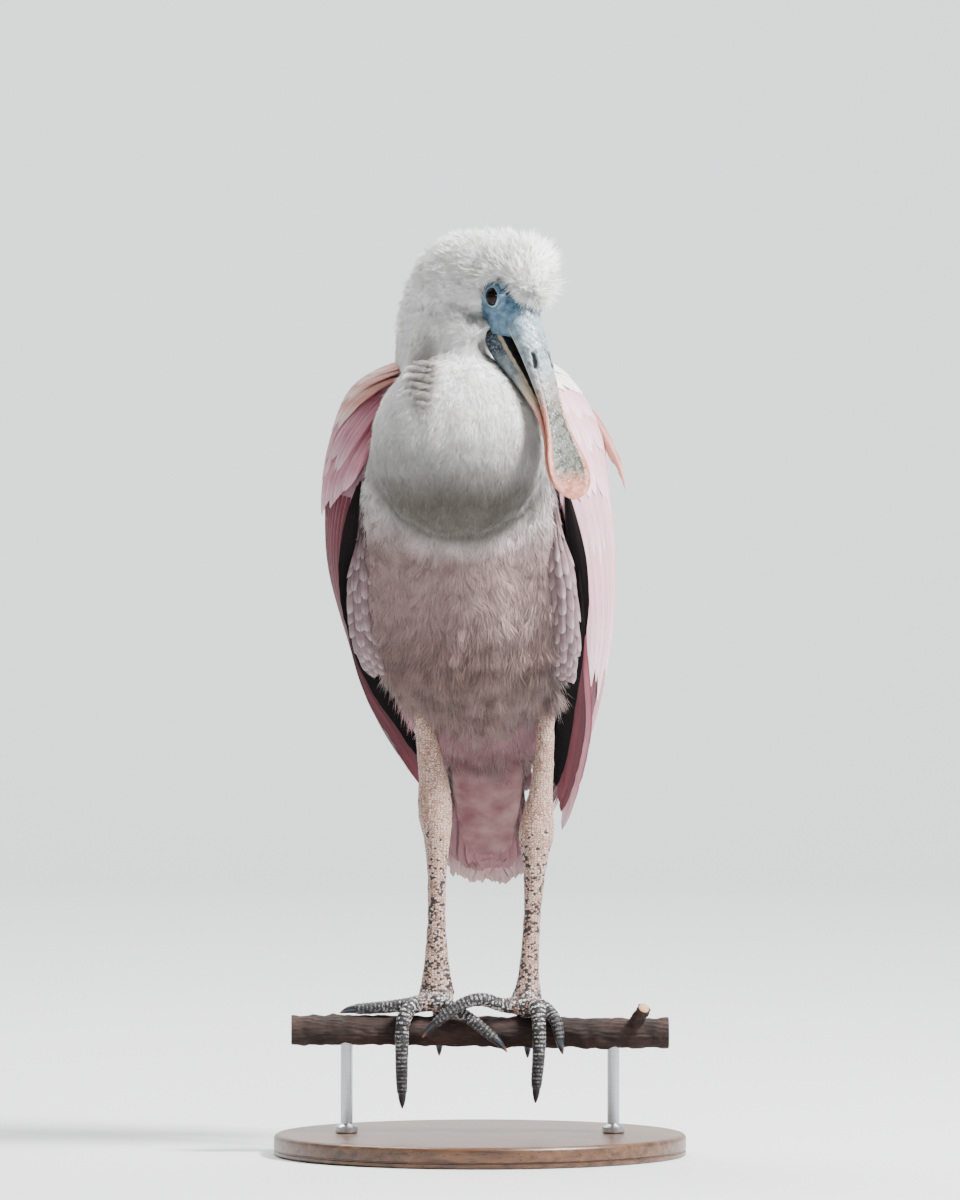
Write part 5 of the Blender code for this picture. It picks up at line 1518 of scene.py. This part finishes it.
def eye_material():
    """A wet eye: clear cornea over a near-black pupil and a dark brown iris."""
    nodes = Surface("wet_eye", roughness=0.1, ior=1.2, coat_weight=0.15, coat_roughness=0.02)
    polar = nodes.read("iris")
    place = nodes.place()
    fibres = nodes.noise(place, 0.0007, 2.0)
    iris = nodes.mix(fibres, "#0D0705", "#1D0E09")
    pupil = nodes.ramp(polar, 0.48, 0.52)
    white = nodes.ramp(polar, 0.76, 0.84)
    colour = nodes.mix(pupil, "#050404", iris)
    colour = nodes.mix(white, colour, "#1A1716")
    return nodes.paint(colour)


LEG_VOXEL = 0.0008
SOLE_RADII = np.array((0.0113, 0.0102, 0.0085))
SCUTE_LENGTH = 0.0027


def claw_rows(table):
    """The rows of a claw that carries on from the toe's end and hooks down."""
    end = np.array(table[-1][:3])
    ahead = unit(end - np.array(table[-2][:3]))
    radius = table[-1][3]
    hook = np.array((0, 0, -1)) if abs(ahead[2]) < 0.8 else np.array((0, 1, 0))
    rows = []
    for share, thick in ((-0.12, 0.86), (0.0, 0.84), (0.35, 0.7), (0.7, 0.44), (1.0, 0.14)):
        at = end + ahead * CLAW_LENGTH * share + hook * CLAW_CURVE * share * share
        rows.append((*at, radius * thick, radius * thick, radius * thick))
    return rows


def leg(side, material):
    """Shank, heel, foot and toes as one skin, with plates across the toes and folds at the joints."""
    word = side_name(side)
    legs = [(x, y, z, wide, deep, deep) for x, y, z, wide, deep in LEGS[side]]
    parts = [tube(legs, 130, 40, (0, -1, 0))[:2]]
    toes = [round_rows(table) for table in TOES[side].values()]
    parts += [tube(rows, 60, 28, (0.1, 0.2, 1), ends=(0.05, 0.05))[:2] for rows in toes]
    bag = Bag()
    for points, faces in parts:
        bag.add(points, faces)
    rough = bag.make("rough_leg_" + word, material)
    sole = np.array(legs[-1][:3]) + (0, -0.001, -0.0035)
    bm = bmesh.new()
    bm.from_mesh(rough.data)
    ball = bmesh.ops.create_uvsphere(bm, u_segments=32, v_segments=20, radius=1.0)
    for vertex in ball["verts"]:
        vertex.co = Vector(sole + np.array(vertex.co) * SOLE_RADII)
    bm.to_mesh(rough.data)
    bm.free()
    mesh = fused(rough, LEG_VOXEL, 0.5, 5)
    points, normals = mesh_points(mesh)
    best = np.full(len(points), 9.0)
    scute = np.ones(len(points))
    dark = np.zeros(len(points))
    lift = np.zeros(len(points))
    for n, rows in enumerate([legs] + toes):
        shares = np.linspace(0, 1, 160)
        axis = curve(rows, shares)
        far = ((points[:, None, :] - axis[None, :, :3]) ** 2).sum(-1)
        near = np.argmin(far, axis=1)
        ratio = np.sqrt(far[np.arange(len(points)), near]) / axis[near, 3]
        mine = ratio < best
        best = np.where(mine, ratio, best)
        run = np.concatenate(((0,), np.cumsum(np.linalg.norm(np.diff(axis[:, :3], axis=0), axis=1))))[near]
        if n == 0:
            z = points[:, 2]
            folds = np.sin(run * 2 * math.pi / 0.0026 + wobble(points, 0.01, 3)) * 0.00022
            joints = np.exp(-((z - (0.226 if side == RIGHT else 0.212)) / 0.014) ** 2)
            ankle = step(0.128, 0.112, z)
            value_lift = folds * np.clip(joints + 0.8 * ankle, 0, 1) + wobble(points, 0.006, 4) * 0.00018
            value_scute = np.ones(len(points))
            value_dark = 0.03 + 0.34 * step(0.222, 0.175, z) + 0.38 * step(0.122, 0.1, z)
        else:
            ahead = unit(np.gradient(axis[:, :3], axis=0))[near]
            outer = np.array((0.0, -0.55, 0.85)) - ahead * (ahead @ np.array((0.0, -0.55, 0.85)))[:, None]
            facing = (normals * unit(outer)).sum(-1)
            top = step(0.05, 0.45, facing)
            wave = 0.5 - 0.5 * np.cos(run * 2 * math.pi / SCUTE_LENGTH)
            plate = np.clip(wave * 1.6, 0, 1) ** 0.7
            value_lift = (plate - 0.6) * 0.00052 * top + wobble(points, 0.0022, 6) * 0.00016 * (1 - top)
            value_scute = 1 - (1 - plate) * top
            value_dark = 0.78 + 0.22 * step(0.0, 0.9, near / 160) - 0.3 * step(0.25, 0.0, near / 160)
        lift = np.where(mine, value_lift, lift)
        scute = np.where(mine, value_scute, scute)
        dark = np.where(mine, value_dark, dark)
    points = points + normals * lift[:, None]
    mesh.vertices.foreach_set("co", points.ravel())
    store_value(mesh, "scute", scute)
    store_value(mesh, "dark", dark)
    mesh.shade_smooth()
    skin = add_object("leg_" + word + "_skin", mesh)
    return dress(skin, material, ("tibia_" + word, "tarsus_" + word, "foot_" + word))


def leg_skin_material():
    """Horny leg skin: cream scales in grey furrows, flecked black, and black with white bars on the toes."""
    nodes = Surface("horny_leg_scales", roughness=0.52, ior=1.5)
    place = nodes.place()
    scute = nodes.read("scute")
    dark = nodes.read("dark")
    choices = bpy.context.scene.spoonbill_bare
    # The leg's scales are wider than high
    squeezed = nodes.stretch(place, (0.85, 0.85, 1.15))
    edge = nodes.cells(squeezed, choices.scales, 0.75, feature="DISTANCE_TO_EDGE")
    each = nodes.cells(squeezed, choices.scales, 0.75, out=1)
    chance = nodes.axis(each, 0)
    chance_two = chance.node.outputs[1]
    body = nodes.soft(edge, 0.03, 0.17)
    cloud = nodes.ramp(nodes.noise(place, 0.011, 3.0), 0.35, 0.65)
    cream = nodes.mix(cloud, "#A07059", tuple(choices.leg))
    pale = nodes.mix(chance_two, cream, "#C4AC9E")
    furrow = nodes.mix(dark, "#775548", "#1C191A")
    colour = nodes.mix(body, furrow, pale)
    limit = nodes.ramp(dark, 0.04, 1.0, 0.0, 0.72)
    fleck = nodes.math("LESS_THAN", chance, limit)
    colour = nodes.mix(fleck, colour, "#211C1C")
    bars = nodes.soft(scute, 0.55, 0.95)
    toes = nodes.ramp(dark, 0.6, 0.75)
    toe = nodes.mix(bars, "#0F0E11", "#2C292D")
    light = nodes.times(nodes.math("GREATER_THAN", chance_two, 0.4), bars)
    light = nodes.times(light, body)
    fade = nodes.ramp(dark, 0.98, 0.8, 0.15, 0.9)
    light = nodes.times(light, fade)
    toe = nodes.mix(light, toe, "#E2DCD6")
    colour = nodes.mix(toes, colour, toe)
    bump = nodes.bump(body, 0.6, 0.0004)
    return nodes.paint(colour, bump)


def claws(side, material):
    for toe, table in TOES[side].items():
        name = f"claw_{side_name(side)}_{toe}"
        points, faces, at, _ = tube(claw_rows(table), 24, 20, (0.1, 0.2, 1), ends=(0.0, 0.12))
        bag = Bag()
        bag.add(points, faces, None, {"along": np.concatenate((np.repeat(at, 20), (0.0, 1.0)))})
        bag.make(name + "_horn", material, (name,))


def claw_material():
    """Claw horn: blue-black and smooth, worn to amber at the tip."""
    nodes = Surface("claw_horn", roughness=0.3, ior=1.54)
    along = nodes.read("along")
    place = nodes.place()
    grain = nodes.noise(place, 0.0008)
    worn = nodes.ramp(along, 0.72, 0.98)
    horn = tuple(bpy.context.scene.spoonbill_bare.claw)
    colour = nodes.mix(worn, horn, "#9A5D3E")
    bump = nodes.bump(grain, 0.2, 0.0002)
    return nodes.paint(colour, bump)


def perch(material):
    """A cut length of branch with flaking bark, sawn ends and two sawn twigs."""
    bag = Bag()
    count = 9
    middles = []
    for i in range(count):
        x = (PERCH_LENGTH - 0.0005) * (i / (count - 1) - 0.5)
        sway = 0.0016 * math.sin(5.1 * i / count + 0.4)
        lift = PERCH_Z - 0.0008 + 0.001 * math.cos(4.0 * i / count)
        middles.append((x, sway, lift, PERCH_RADIUS, PERCH_RADIUS, PERCH_RADIUS))
    limbs = [(middles, 300, 84)]
    for x, lean, reach in TWIGS:
        start = np.array((x, 0, PERCH_Z))
        way = unit(np.array(lean)) * reach
        rows = [(*(start + way * s), radius) for s, radius in ((0.0, 0.0056), (0.5, 0.0046), (1.0, 0.004))]
        limbs.append((round_rows(rows), 60, 48))
    for rows, rings, sides in limbs:
        points, faces, at, _ = tube(rows, rings, sides, (0, 0.2, 1))
        axis = curve(rows, at)[:, :3]
        ring = points[:-2].reshape(rings, sides, 3)
        out = unit(ring - axis[:, None])
        stretched = ring * np.array((0.22, 1.0, 1.0))
        ridges = np.abs(wobble(stretched, 0.0042, 12)) + 0.5 * np.abs(wobble(stretched, 0.0018, 13))
        flakes = wobble(ring, 0.016, 14)
        lift = 0.0006 * ridges - 0.0005 + 0.0004 * flakes
        ends = np.minimum(np.arange(rings), np.arange(rings)[::-1])
        lift = np.where(ends[:, None] < 3, -0.0004, lift)
        ring = ring + out * lift[..., None]
        points = np.concatenate((ring.reshape(-1, 3), points[-2:]))
        radial = np.concatenate((np.ones(rings * sides), (0.0, 0.0)))
        cut = np.concatenate((np.repeat((ends < 1).astype(float), sides), (1.0, 1.0)))
        bag.add(points, faces, None, {"radial": radial, "cut": cut})
    return bag.make("perch_branch", material, ("perch",))


def bark_material():
    """Bark of a weathered branch: rough, red-brown and grey, with paler sawn wood at the cuts."""
    nodes = Surface("weathered_bark", roughness=0.85)
    place = nodes.place()
    cut = nodes.read("cut")
    radial = nodes.read("radial")
    # Fibres run along the branch and lie about 1 mm apart
    fibre = nodes.stretch(place, (1 / 0.012, 1 / 0.0012, 1 / 0.0012))
    fibre = nodes.noise(fibre, 1.0, 5.0, 0.65)
    cloud = nodes.ramp(nodes.noise(place, 0.018, 4.0), 0.4, 0.62)
    crust = tuple(bpy.context.scene.spoonbill_stand.bark)
    colour = nodes.mix(cloud, "#21100B", crust)
    fine = nodes.ramp(fibre, 0.3, 0.72, 0.35, 1.35)
    colour = nodes.shade(colour, fine)
    rings = nodes.times(radial, 2 * math.pi * 8)
    rings = nodes.math("SINE", rings)
    rings = nodes.ramp(rings, -1.0, 1.0)
    wood = nodes.mix(rings, "#A98059", "#C9A67C")
    sawn = nodes.math("GREATER_THAN", cut, 0.97)
    colour = nodes.mix(sawn, colour, wood)
    bump = nodes.bump(fibre, 0.7, 0.0008)
    return nodes.paint(colour, bump)


BASE_RADIUS = 0.136
BASE_THICK = 0.014
BASE_EDGE = 0.003
ROD_RADIUS = 0.004
COLLAR_RADIUS = 0.0075


def turned(name, profile, turns, material, replaced=()):
    """A shape turned about Z from a profile that runs down its outer side."""
    mesh = bpy.data.meshes.new(name)
    mesh.from_pydata([(x, 0, z) for x, z in profile], [(i, i + 1) for i in range(len(profile) - 1)], [])
    obj = add_object(name, mesh)
    screw = obj.modifiers.new("turn", "SCREW")
    screw.steps = turns
    screw.render_steps = turns
    screw.use_merge_vertices = True
    screw.merge_threshold = 0.0
    screw.use_smooth_shade = False
    graph = bpy.context.evaluated_depsgraph_get()
    obj.data = bpy.data.meshes.new_from_object(obj.evaluated_get(graph))
    obj.modifiers.clear()
    obj.data.shade_smooth()
    obj.data.set_sharp_from_angle(angle=math.radians(30))
    return dress(obj, material, replaced)


def stand(wood, steel):
    """The turned base with a rounded rim and a bead, and two rods in small collars."""
    profile = [(0.0, BASE_THICK), (BASE_RADIUS - 3.0 * BASE_EDGE, BASE_THICK)]
    for k in range(9):
        turn = math.pi / 2 * k / 8
        inward, down = 1 - math.sin(turn), 1 - math.cos(turn)
        profile.append((BASE_RADIUS - BASE_EDGE * inward, BASE_THICK - BASE_EDGE * down))
    profile += [(BASE_RADIUS, 0.0045), (BASE_RADIUS - 0.0008, 0.004), (BASE_RADIUS - 0.0008, 0.0034),
                (BASE_RADIUS, 0.0029), (BASE_RADIUS, 0.0012), (BASE_RADIUS - 0.0012, 0.0), (0.0, 0.0)]
    turned("stand_base_wood", profile, 180, wood, ("stand_base",))
    for side in (RIGHT, LEFT):
        name = "stand_rod_" + side_name(side)
        low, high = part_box(name)
        r, c = ROD_RADIUS, COLLAR_RADIUS
        z = low.z
        profile = [(0.0, high.z - z), (r - 0.0004, high.z - z), (r, high.z - z - 0.0004), (r, 0.0062),
                   (c - 0.0008, 0.0048), (c, 0.004), (c, 0.0006), (c - 0.0006, 0.0), (0.0, 0.0)]
        rod = turned(name + "_steel", profile, 48, steel, (name,))
        rod.data.transform(Matrix.Translation(((low.x + high.x) / 2, 0.0, z)))


def wood_material():
    """Oiled walnut, turned and sanded: brown, with darker pores along the grain and a soft gloss."""
    nodes = Surface("oiled_walnut", roughness=0.38, ior=1.5, coat_weight=0.15, coat_roughness=0.25)
    place = nodes.place()
    grain = nodes.stretch(place, (1 / 0.06, 1 / 0.0045, 1 / 0.0045))
    bands = nodes.ramp(nodes.noise(grain, 1.0, 5.0, 0.55, 0.6), 0.32, 0.68)
    # Walnut's pores are long and under half a millimetre wide
    pores = nodes.noise(nodes.stretch(place, (1 / 0.01, 1 / 0.0006, 1 / 0.0006)), 1.0, 2.0)
    pores = nodes.ramp(pores, 0.6, 0.68)
    walnut = tuple(bpy.context.scene.spoonbill_stand.wood)
    colour = nodes.mix(bands, "#3A2418", walnut)
    colour = nodes.mix(pores, colour, "#24150D")
    bump = nodes.bump(pores, 0.15, 0.0002)
    return nodes.paint(colour, bump)


def steel_material():
    """Brushed stainless steel: a bright grey metal with fine drawn lines round the rod."""
    nodes = Surface("brushed_steel", roughness=0.3, metallic=1.0)
    place = nodes.place()
    lines = nodes.noise(nodes.stretch(place, (40.0, 40.0, 1 / 0.0004)), 1.0, 2.0)
    shade = nodes.ramp(lines, 0.0, 1.0, 0.24, 0.42)
    bright = tuple(bpy.context.scene.spoonbill_stand.steel)
    colour = nodes.mix(lines, "#A9ACB0", bright)
    bump = nodes.bump(lines, 0.1, 0.0001)
    return nodes.paint(colour, bump, shade)


UNDERTAIL_TUFTS = 5600
# A region of down: name, number of tufts and seed
DOWN_REGIONS = [("head", 9400, 11), ("neck", 9400, 12), ("bulge_high", 9400, 13), ("bulge_low", 6600, 17),
                ("breast", 9400, 14), ("belly", 9400, 15), ("vent", 8500, 16)]


def tree_of(*names):
    """A search tree through the meshes of CAD nodes."""
    bm = bmesh.new()
    for name in names:
        bm.from_mesh(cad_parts[name].data)
    found = BVHTree.FromBMesh(bm)
    bm.free()
    return found


def within(trees, spot, margin):
    """Whether a spot lies inside one of some solids, or outside it by less than the margin."""
    for tree in trees:
        closest, facing, _, gap = tree.find_nearest(spot, SEARCH_REACH)
        if closest is not None and (gap < margin or (spot - closest).dot(facing) < 0):
            return True
    return False


def down_weights(arrays):
    """For each region, 1 on the triangles of the skin where its down grows and 0 elsewhere."""
    corners, points, normals = arrays[:3]
    middles = points[corners].mean(1)
    facing = unit(normals[corners].sum(1))
    face = [tree_of(name) for name in ("face", "eye_right", "eye_left")]
    bill = [tree_of(name) for name in ("bill_upper", "bill_lower")]
    wings = tree_of("wing_right", "wing_left", "mantle")
    grows = np.ones(len(middles))
    for i, (place, way) in enumerate(zip(middles, facing)):
        spot = Vector(place)
        if within(face, spot, 0.0012) or within(bill, spot, COAT_DEPTH - 0.0004):
            grows[i] = 0.0
        elif place[2] < (0.5 if place[1] < 0 else 0.455) and wings.ray_cast(spot, Vector(way), 0.03)[0]:
            grows[i] = 0.0
    ahead, above, aside = head_measures(middles)
    beside = np.abs(aside) > 0.008
    grows[beside & (np.hypot(ahead, above - EYE_LIFT) < 0.01)] = 0.0
    grows[beside & (np.hypot(ahead - 0.007, above - 0.001) < 0.01)] = 0.0
    on_head = (np.linalg.norm(middles - HEAD_ORIGIN, axis=1) < 0.04) & (middles[:, 2] > 0.53)
    inside = (bulge_reach(middles) < 1.12) & ~on_head
    rest = ~on_head & ~inside
    z = middles[:, 2]
    masks = {"head": on_head, "bulge_high": inside & (z > 0.463), "bulge_low": inside & (z <= 0.463),
             "neck": rest & (z > 0.462), "breast": rest & (z <= 0.462) & (z > 0.365),
             "belly": rest & (z <= 0.365) & (z > 0.288), "vent": rest & (z <= 0.288)}
    return {name: grows * mask for name, mask in masks.items()}


def mark_bare_skin(mesh, arrays, grows):
    """Stores how bare each point of the skin is, which is 1 in the middle of the face."""
    corners, points = arrays[:2]
    bare = np.bincount(corners.ravel(), np.repeat(1 - grows, 3), len(points))
    bare = bare / np.maximum(np.bincount(corners.ravel(), minlength=len(points)), 1)
    bare = bare * (np.linalg.norm(points - HEAD_ORIGIN, axis=1) < FACE_REACH)
    store_value(mesh, "bare", bare)


def colour_choice(name, description, code):
    """A colour that a user may change, given first as an sRGB hex value."""
    return bpy.props.FloatVectorProperty(name=name, description=description, subtype="COLOR", size=4,
                                         min=0.0, max=1.0, default=linear(code))


def size_choice(name, description, size, low, high):
    """A length in metres that a user may change."""
    return bpy.props.FloatProperty(name=name, description=description, default=size, min=low, max=high,
                                   unit="LENGTH", precision=4)


class PlumageSettings(bpy.types.PropertyGroup):
    """Colours and fullness of the down and feathers."""

    density: bpy.props.FloatProperty(
        name="Down density", description="Share of the full number of tufts of down",
        default=1.0, min=0.1, max=1.0, subtype="FACTOR")
    length: size_choice("Down length", "Length of the down on the neck", NECK_DOWN, 0.002, 0.01)
    barbs: size_choice("Barb spacing", "From one barb of a feather to the next", 0.0009, 0.0004, 0.003)
    white: colour_choice("Down", "Colour of the clean down", "#F9F8F6")
    pale: colour_choice("Pale feathers", "Colour of the pale wing feathers", VANES["pale"][1])
    rose: colour_choice("Rose feathers", "Colour of the rose wing feathers", VANES["rose"][1])
    salmon: colour_choice("Shoulder feathers", "Colour of the shoulder's feathers", VANES["salmon"][1])


class BareSettings(bpy.types.PropertyGroup):
    """Colours and scales of the bill, the bare skin, the legs and the claws."""

    bill: colour_choice("Bill", "Colour of the bill's shaft", "#95A0A6")
    rim: colour_choice("Bill rim", "Colour of the rim of the bill's spoon", "#B87C6B")
    face: colour_choice("Face", "Colour of the bare skin round the eye", "#688497")
    leg: colour_choice("Leg", "Colour of the leg's pale scales", "#B79788")
    claw: colour_choice("Claw", "Colour of the claws' horn", "#20242B")
    scales: size_choice("Leg scales", "From one scale of the leg to the next", 0.0017, 0.001, 0.005)


class StandSettings(bpy.types.PropertyGroup):
    """Colours of the branch, the base and the rods."""

    bark: colour_choice("Bark", "Colour of the branch's bark", "#38241D")
    wood: colour_choice("Base", "Colour of the wooden base", "#6B4A33")
    steel: colour_choice("Rods", "Colour of the steel rods", "#C6C8CA")


class StageSettings(bpy.types.PropertyGroup):
    """The floor, the light and the camera."""

    floor: colour_choice("Floor", "Colour of the floor and backdrop", "#D5D7D8")
    key: bpy.props.FloatProperty(
        name="Key light", description="Power of the main soft light", default=262.0, min=0.0, unit="POWER")
    distance: bpy.props.FloatProperty(
        name="Camera distance", description="From the camera to the bird",
        default=5.0, min=2.0, unit="LENGTH")


class SPOONBILL_OT_down(bpy.types.Operator):
    """Lay one skin through the head, neck and body, and grow down on it"""

    bl_idname = "spoonbill.down"
    bl_label = "Skin and down"

    def execute(self, context):
        choices = context.scene.spoonbill_plumage
        skin = flesh_skin()
        arrays = mesh_arrays(skin.data)
        skin.name = "body_skin"
        dress(skin, skin_material(), FLESH)
        weights = down_weights(arrays)
        mark_bare_skin(skin.data, arrays, sum(weights.values()))
        material = down_material()
        for name, count, seed in DOWN_REGIONS:
            grow_down(arrays, weights[name], int(count * choices.density), seed, "down_" + name, material,
                      choices.length / NECK_DOWN)
        return {"FINISHED"}


class SPOONBILL_OT_wings(bpy.types.Operator):
    """Lay the rows of both wings, the mantle and the loose scapular"""

    bl_idname = "spoonbill.wings"
    bl_label = "Wings and mantle"

    def execute(self, context):
        kinds = ("white", "pale", "rose", "salmon", "peach", "crimson", "maroon", "black")
        materials = {kind: vane_material(kind) for kind in kinds}
        for side in (RIGHT, LEFT):
            wing_arm(side, materials["pale"])
            folded_feathers(side, BLACK_FAN, "folded_primaries", materials["black"])
            folded_feathers(side, CRIMSON_IN_SHADE_FAN[side], "folded_secondaries", materials["maroon"])
            folded_feathers(side, ROSE_FAN[side], "folded_edge", materials["rose"])
            for row in WING_FEATHERS[side]:
                wing_row(side, row, materials)
        mantle(materials)
        loose_feather(materials["peach"])
        return {"FINISHED"}


class SPOONBILL_OT_tail(bpy.types.Operator):
    """Lay the tail and the feathers over and under it"""

    bl_idname = "spoonbill.tail"
    bl_label = "Tail"

    def execute(self, context):
        materials = {kind: vane_material(kind) for kind in ("tail", "vent")}
        materials["pale"] = bpy.data.materials["feather_vane_pale"]
        count = int(UNDERTAIL_TUFTS * context.scene.spoonbill_plumage.density)
        tail_root(bpy.data.materials["skin_under_down"], bpy.data.materials["plumage_down"], count)
        for row in TAIL_FEATHERS:
            tail_row(row, materials)
        return {"FINISHED"}


class SPOONBILL_OT_flanks(bpy.types.Operator):
    """Hang the two columns of small rounded feathers beside the breast"""

    bl_idname = "spoonbill.flanks"
    bl_label = "Flanks"

    def execute(self, context):
        materials = {"flank": vane_material("flank")}
        for side in (RIGHT, LEFT):
            flank(side, materials, materials["flank"])
        return {"FINISHED"}


class SPOONBILL_OT_head(bpy.types.Operator):
    """Make the bare face, the eyes and the two halves of the bill"""

    bl_idname = "spoonbill.head"
    bl_label = "Face, eyes and bill"

    def execute(self, context):
        face_skin(bare_skin_material())
        wet = eye_material()
        for side in (RIGHT, LEFT):
            eyeball(side, wet)
        bill_half("bill_upper", 260, BILL_UPPER, horn_material(True))
        bill_half("bill_lower", 200, BILL_LOWER, horn_material(False))
        return {"FINISHED"}


class SPOONBILL_OT_legs(bpy.types.Operator):
    """Make the scaled legs and feet, and their claws"""

    bl_idname = "spoonbill.legs"
    bl_label = "Legs and claws"

    def execute(self, context):
        scales = leg_skin_material()
        horn = claw_material()
        for side in (RIGHT, LEFT):
            leg(side, scales)
            claws(side, horn)
        return {"FINISHED"}


class SPOONBILL_OT_stand(bpy.types.Operator):
    """Make the branch, the turned base and the two rods"""

    bl_idname = "spoonbill.stand"
    bl_label = "Branch and stand"

    def execute(self, context):
        perch(bark_material())
        stand(wood_material(), steel_material())
        return {"FINISHED"}


FLOOR_RINGS = (0.8, 2.4, 4.8)
FLOOR_SIDES = 96
WALL_BEND = 1.6
WALL_TOP = 5.0
CAMERA_HEIGHT = 0.3659
PICTURE_WIDTH = 0.792
SENSOR_WIDTH = 36
# A studio light: name, share of the key light's power, size, place and what it points at
LIGHTS = [
    ("key", 1.0, 0.6, (1.5, -0.85, 2.05), (0, 0, 0.4)),
    ("fill", 0.012, 1.8, (-1.9, -1.9, 1.2), (0, 0, 0.36)),
    ("back", 0.2, 1.2, (-0.9, 1.1, 2.2), (0, 0, 0.4)),
    ("wall", 2.0, 3.0, (0.0, 2.4, 4.6), (0, 5.6, 0.4)),
]


class SPOONBILL_OT_stage(bpy.types.Operator):
    """Set the floor, the backdrop, the studio light and the camera"""

    bl_idname = "spoonbill.stage"
    bl_label = "Stage"

    def execute(self, context):
        choices = context.scene.spoonbill_stage
        nodes = Surface("matt_studio_paper", roughness=0.9)
        place = nodes.place()
        # Paper grain, drawn at 4 mm
        grain = nodes.noise(place, 0.004)
        value = nodes.ramp(grain, 0.0, 1.0, 0.99, 1.01)
        colour = nodes.shade(tuple(choices.floor), value)
        material = nodes.paint(colour)
        # The floor is round, and turns up into a wall behind every view
        turns = np.linspace(0.1, math.pi / 2, 14)
        flat = FLOOR_RINGS[-1]
        reach = np.array((*FLOOR_RINGS, *(flat + WALL_BEND * np.sin(turns)), flat + WALL_BEND))
        rise = WALL_BEND - WALL_BEND * np.cos(turns)
        height = np.concatenate((np.zeros(len(FLOOR_RINGS)), rise, (WALL_TOP,)))
        angles = np.linspace(0, 2 * math.pi, FLOOR_SIDES, endpoint=False)
        points = np.stack((reach[:, None] * np.cos(angles), reach[:, None] * np.sin(angles),
                           height[:, None] + 0 * angles), axis=-1).reshape(-1, 3)
        faces = grid_faces(len(reach), FLOOR_SIDES, wrap=True)[:, ::-1].tolist()
        faces.append(list(range(FLOOR_SIDES)))
        mesh = bpy.data.meshes.new("floor_sweep")
        mesh.from_pydata(points.tolist(), [], faces)
        mesh.materials.append(material)
        mesh.shade_smooth()
        add_object("floor_sweep", mesh)
        for name, share, size, place, target in LIGHTS:
            light = bpy.data.lights.new(name, "AREA")
            light.energy = choices.key * share
            light.size = size
            lamp = add_object(name, light)
            lamp.location = place
            lamp.rotation_euler = (Vector(target) - Vector(place)).to_track_quat("-Z", "Y").to_euler()
        world = bpy.data.worlds.new("studio")
        world.use_nodes = True
        background = world.node_tree.nodes["Background"]
        background.inputs[0].default_value = linear("#DCE3EC")
        background.inputs[1].default_value = 0.07
        context.scene.world = world
        camera = add_object("camera", bpy.data.cameras.new("camera"))
        camera.location = (0.0, -choices.distance, CAMERA_HEIGHT)
        camera.rotation_euler = (math.radians(90), 0, 0)
        camera.data.sensor_width = SENSOR_WIDTH
        camera.data.lens = SENSOR_WIDTH * choices.distance / PICTURE_WIDTH
        context.scene.camera = camera
        return {"FINISHED"}


GROUPS = {
    "spoonbill_plumage": PlumageSettings,
    "spoonbill_bare": BareSettings,
    "spoonbill_stand": StandSettings,
    "spoonbill_stage": StageSettings,
}
STEPS = (SPOONBILL_OT_down, SPOONBILL_OT_wings, SPOONBILL_OT_tail, SPOONBILL_OT_flanks, SPOONBILL_OT_head,
         SPOONBILL_OT_legs, SPOONBILL_OT_stand, SPOONBILL_OT_stage)


class SPOONBILL_PT_model(bpy.types.Panel):
    """Lists the steps of the model and its settings"""

    bl_idname = "SPOONBILL_PT_model"
    bl_label = "Spoonbill"
    bl_space_type = "VIEW_3D"
    bl_region_type = "UI"
    bl_category = "Spoonbill"

    def draw(self, context):
        for group, kind in GROUPS.items():
            box = self.layout.box()
            for name in kind.__annotations__:
                box.prop(getattr(context.scene, group), name)
        for each in STEPS:
            self.layout.operator(each.bl_idname)


CLASSES = (*GROUPS.values(), *STEPS, SPOONBILL_PT_model)


def register():
    for each in CLASSES:
        bpy.utils.register_class(each)
    for name, kind in GROUPS.items():
        setattr(bpy.types.Scene, name, bpy.props.PointerProperty(type=kind))


def unregister():
    for name in GROUPS:
        delattr(bpy.types.Scene, name)
    for each in reversed(CLASSES):
        bpy.utils.unregister_class(each)


def main():
    register()
    for each in STEPS:
        group, name = each.bl_idname.split(".")
        getattr(getattr(bpy.ops, group), name)()


if __name__ == "__main__":
    main()
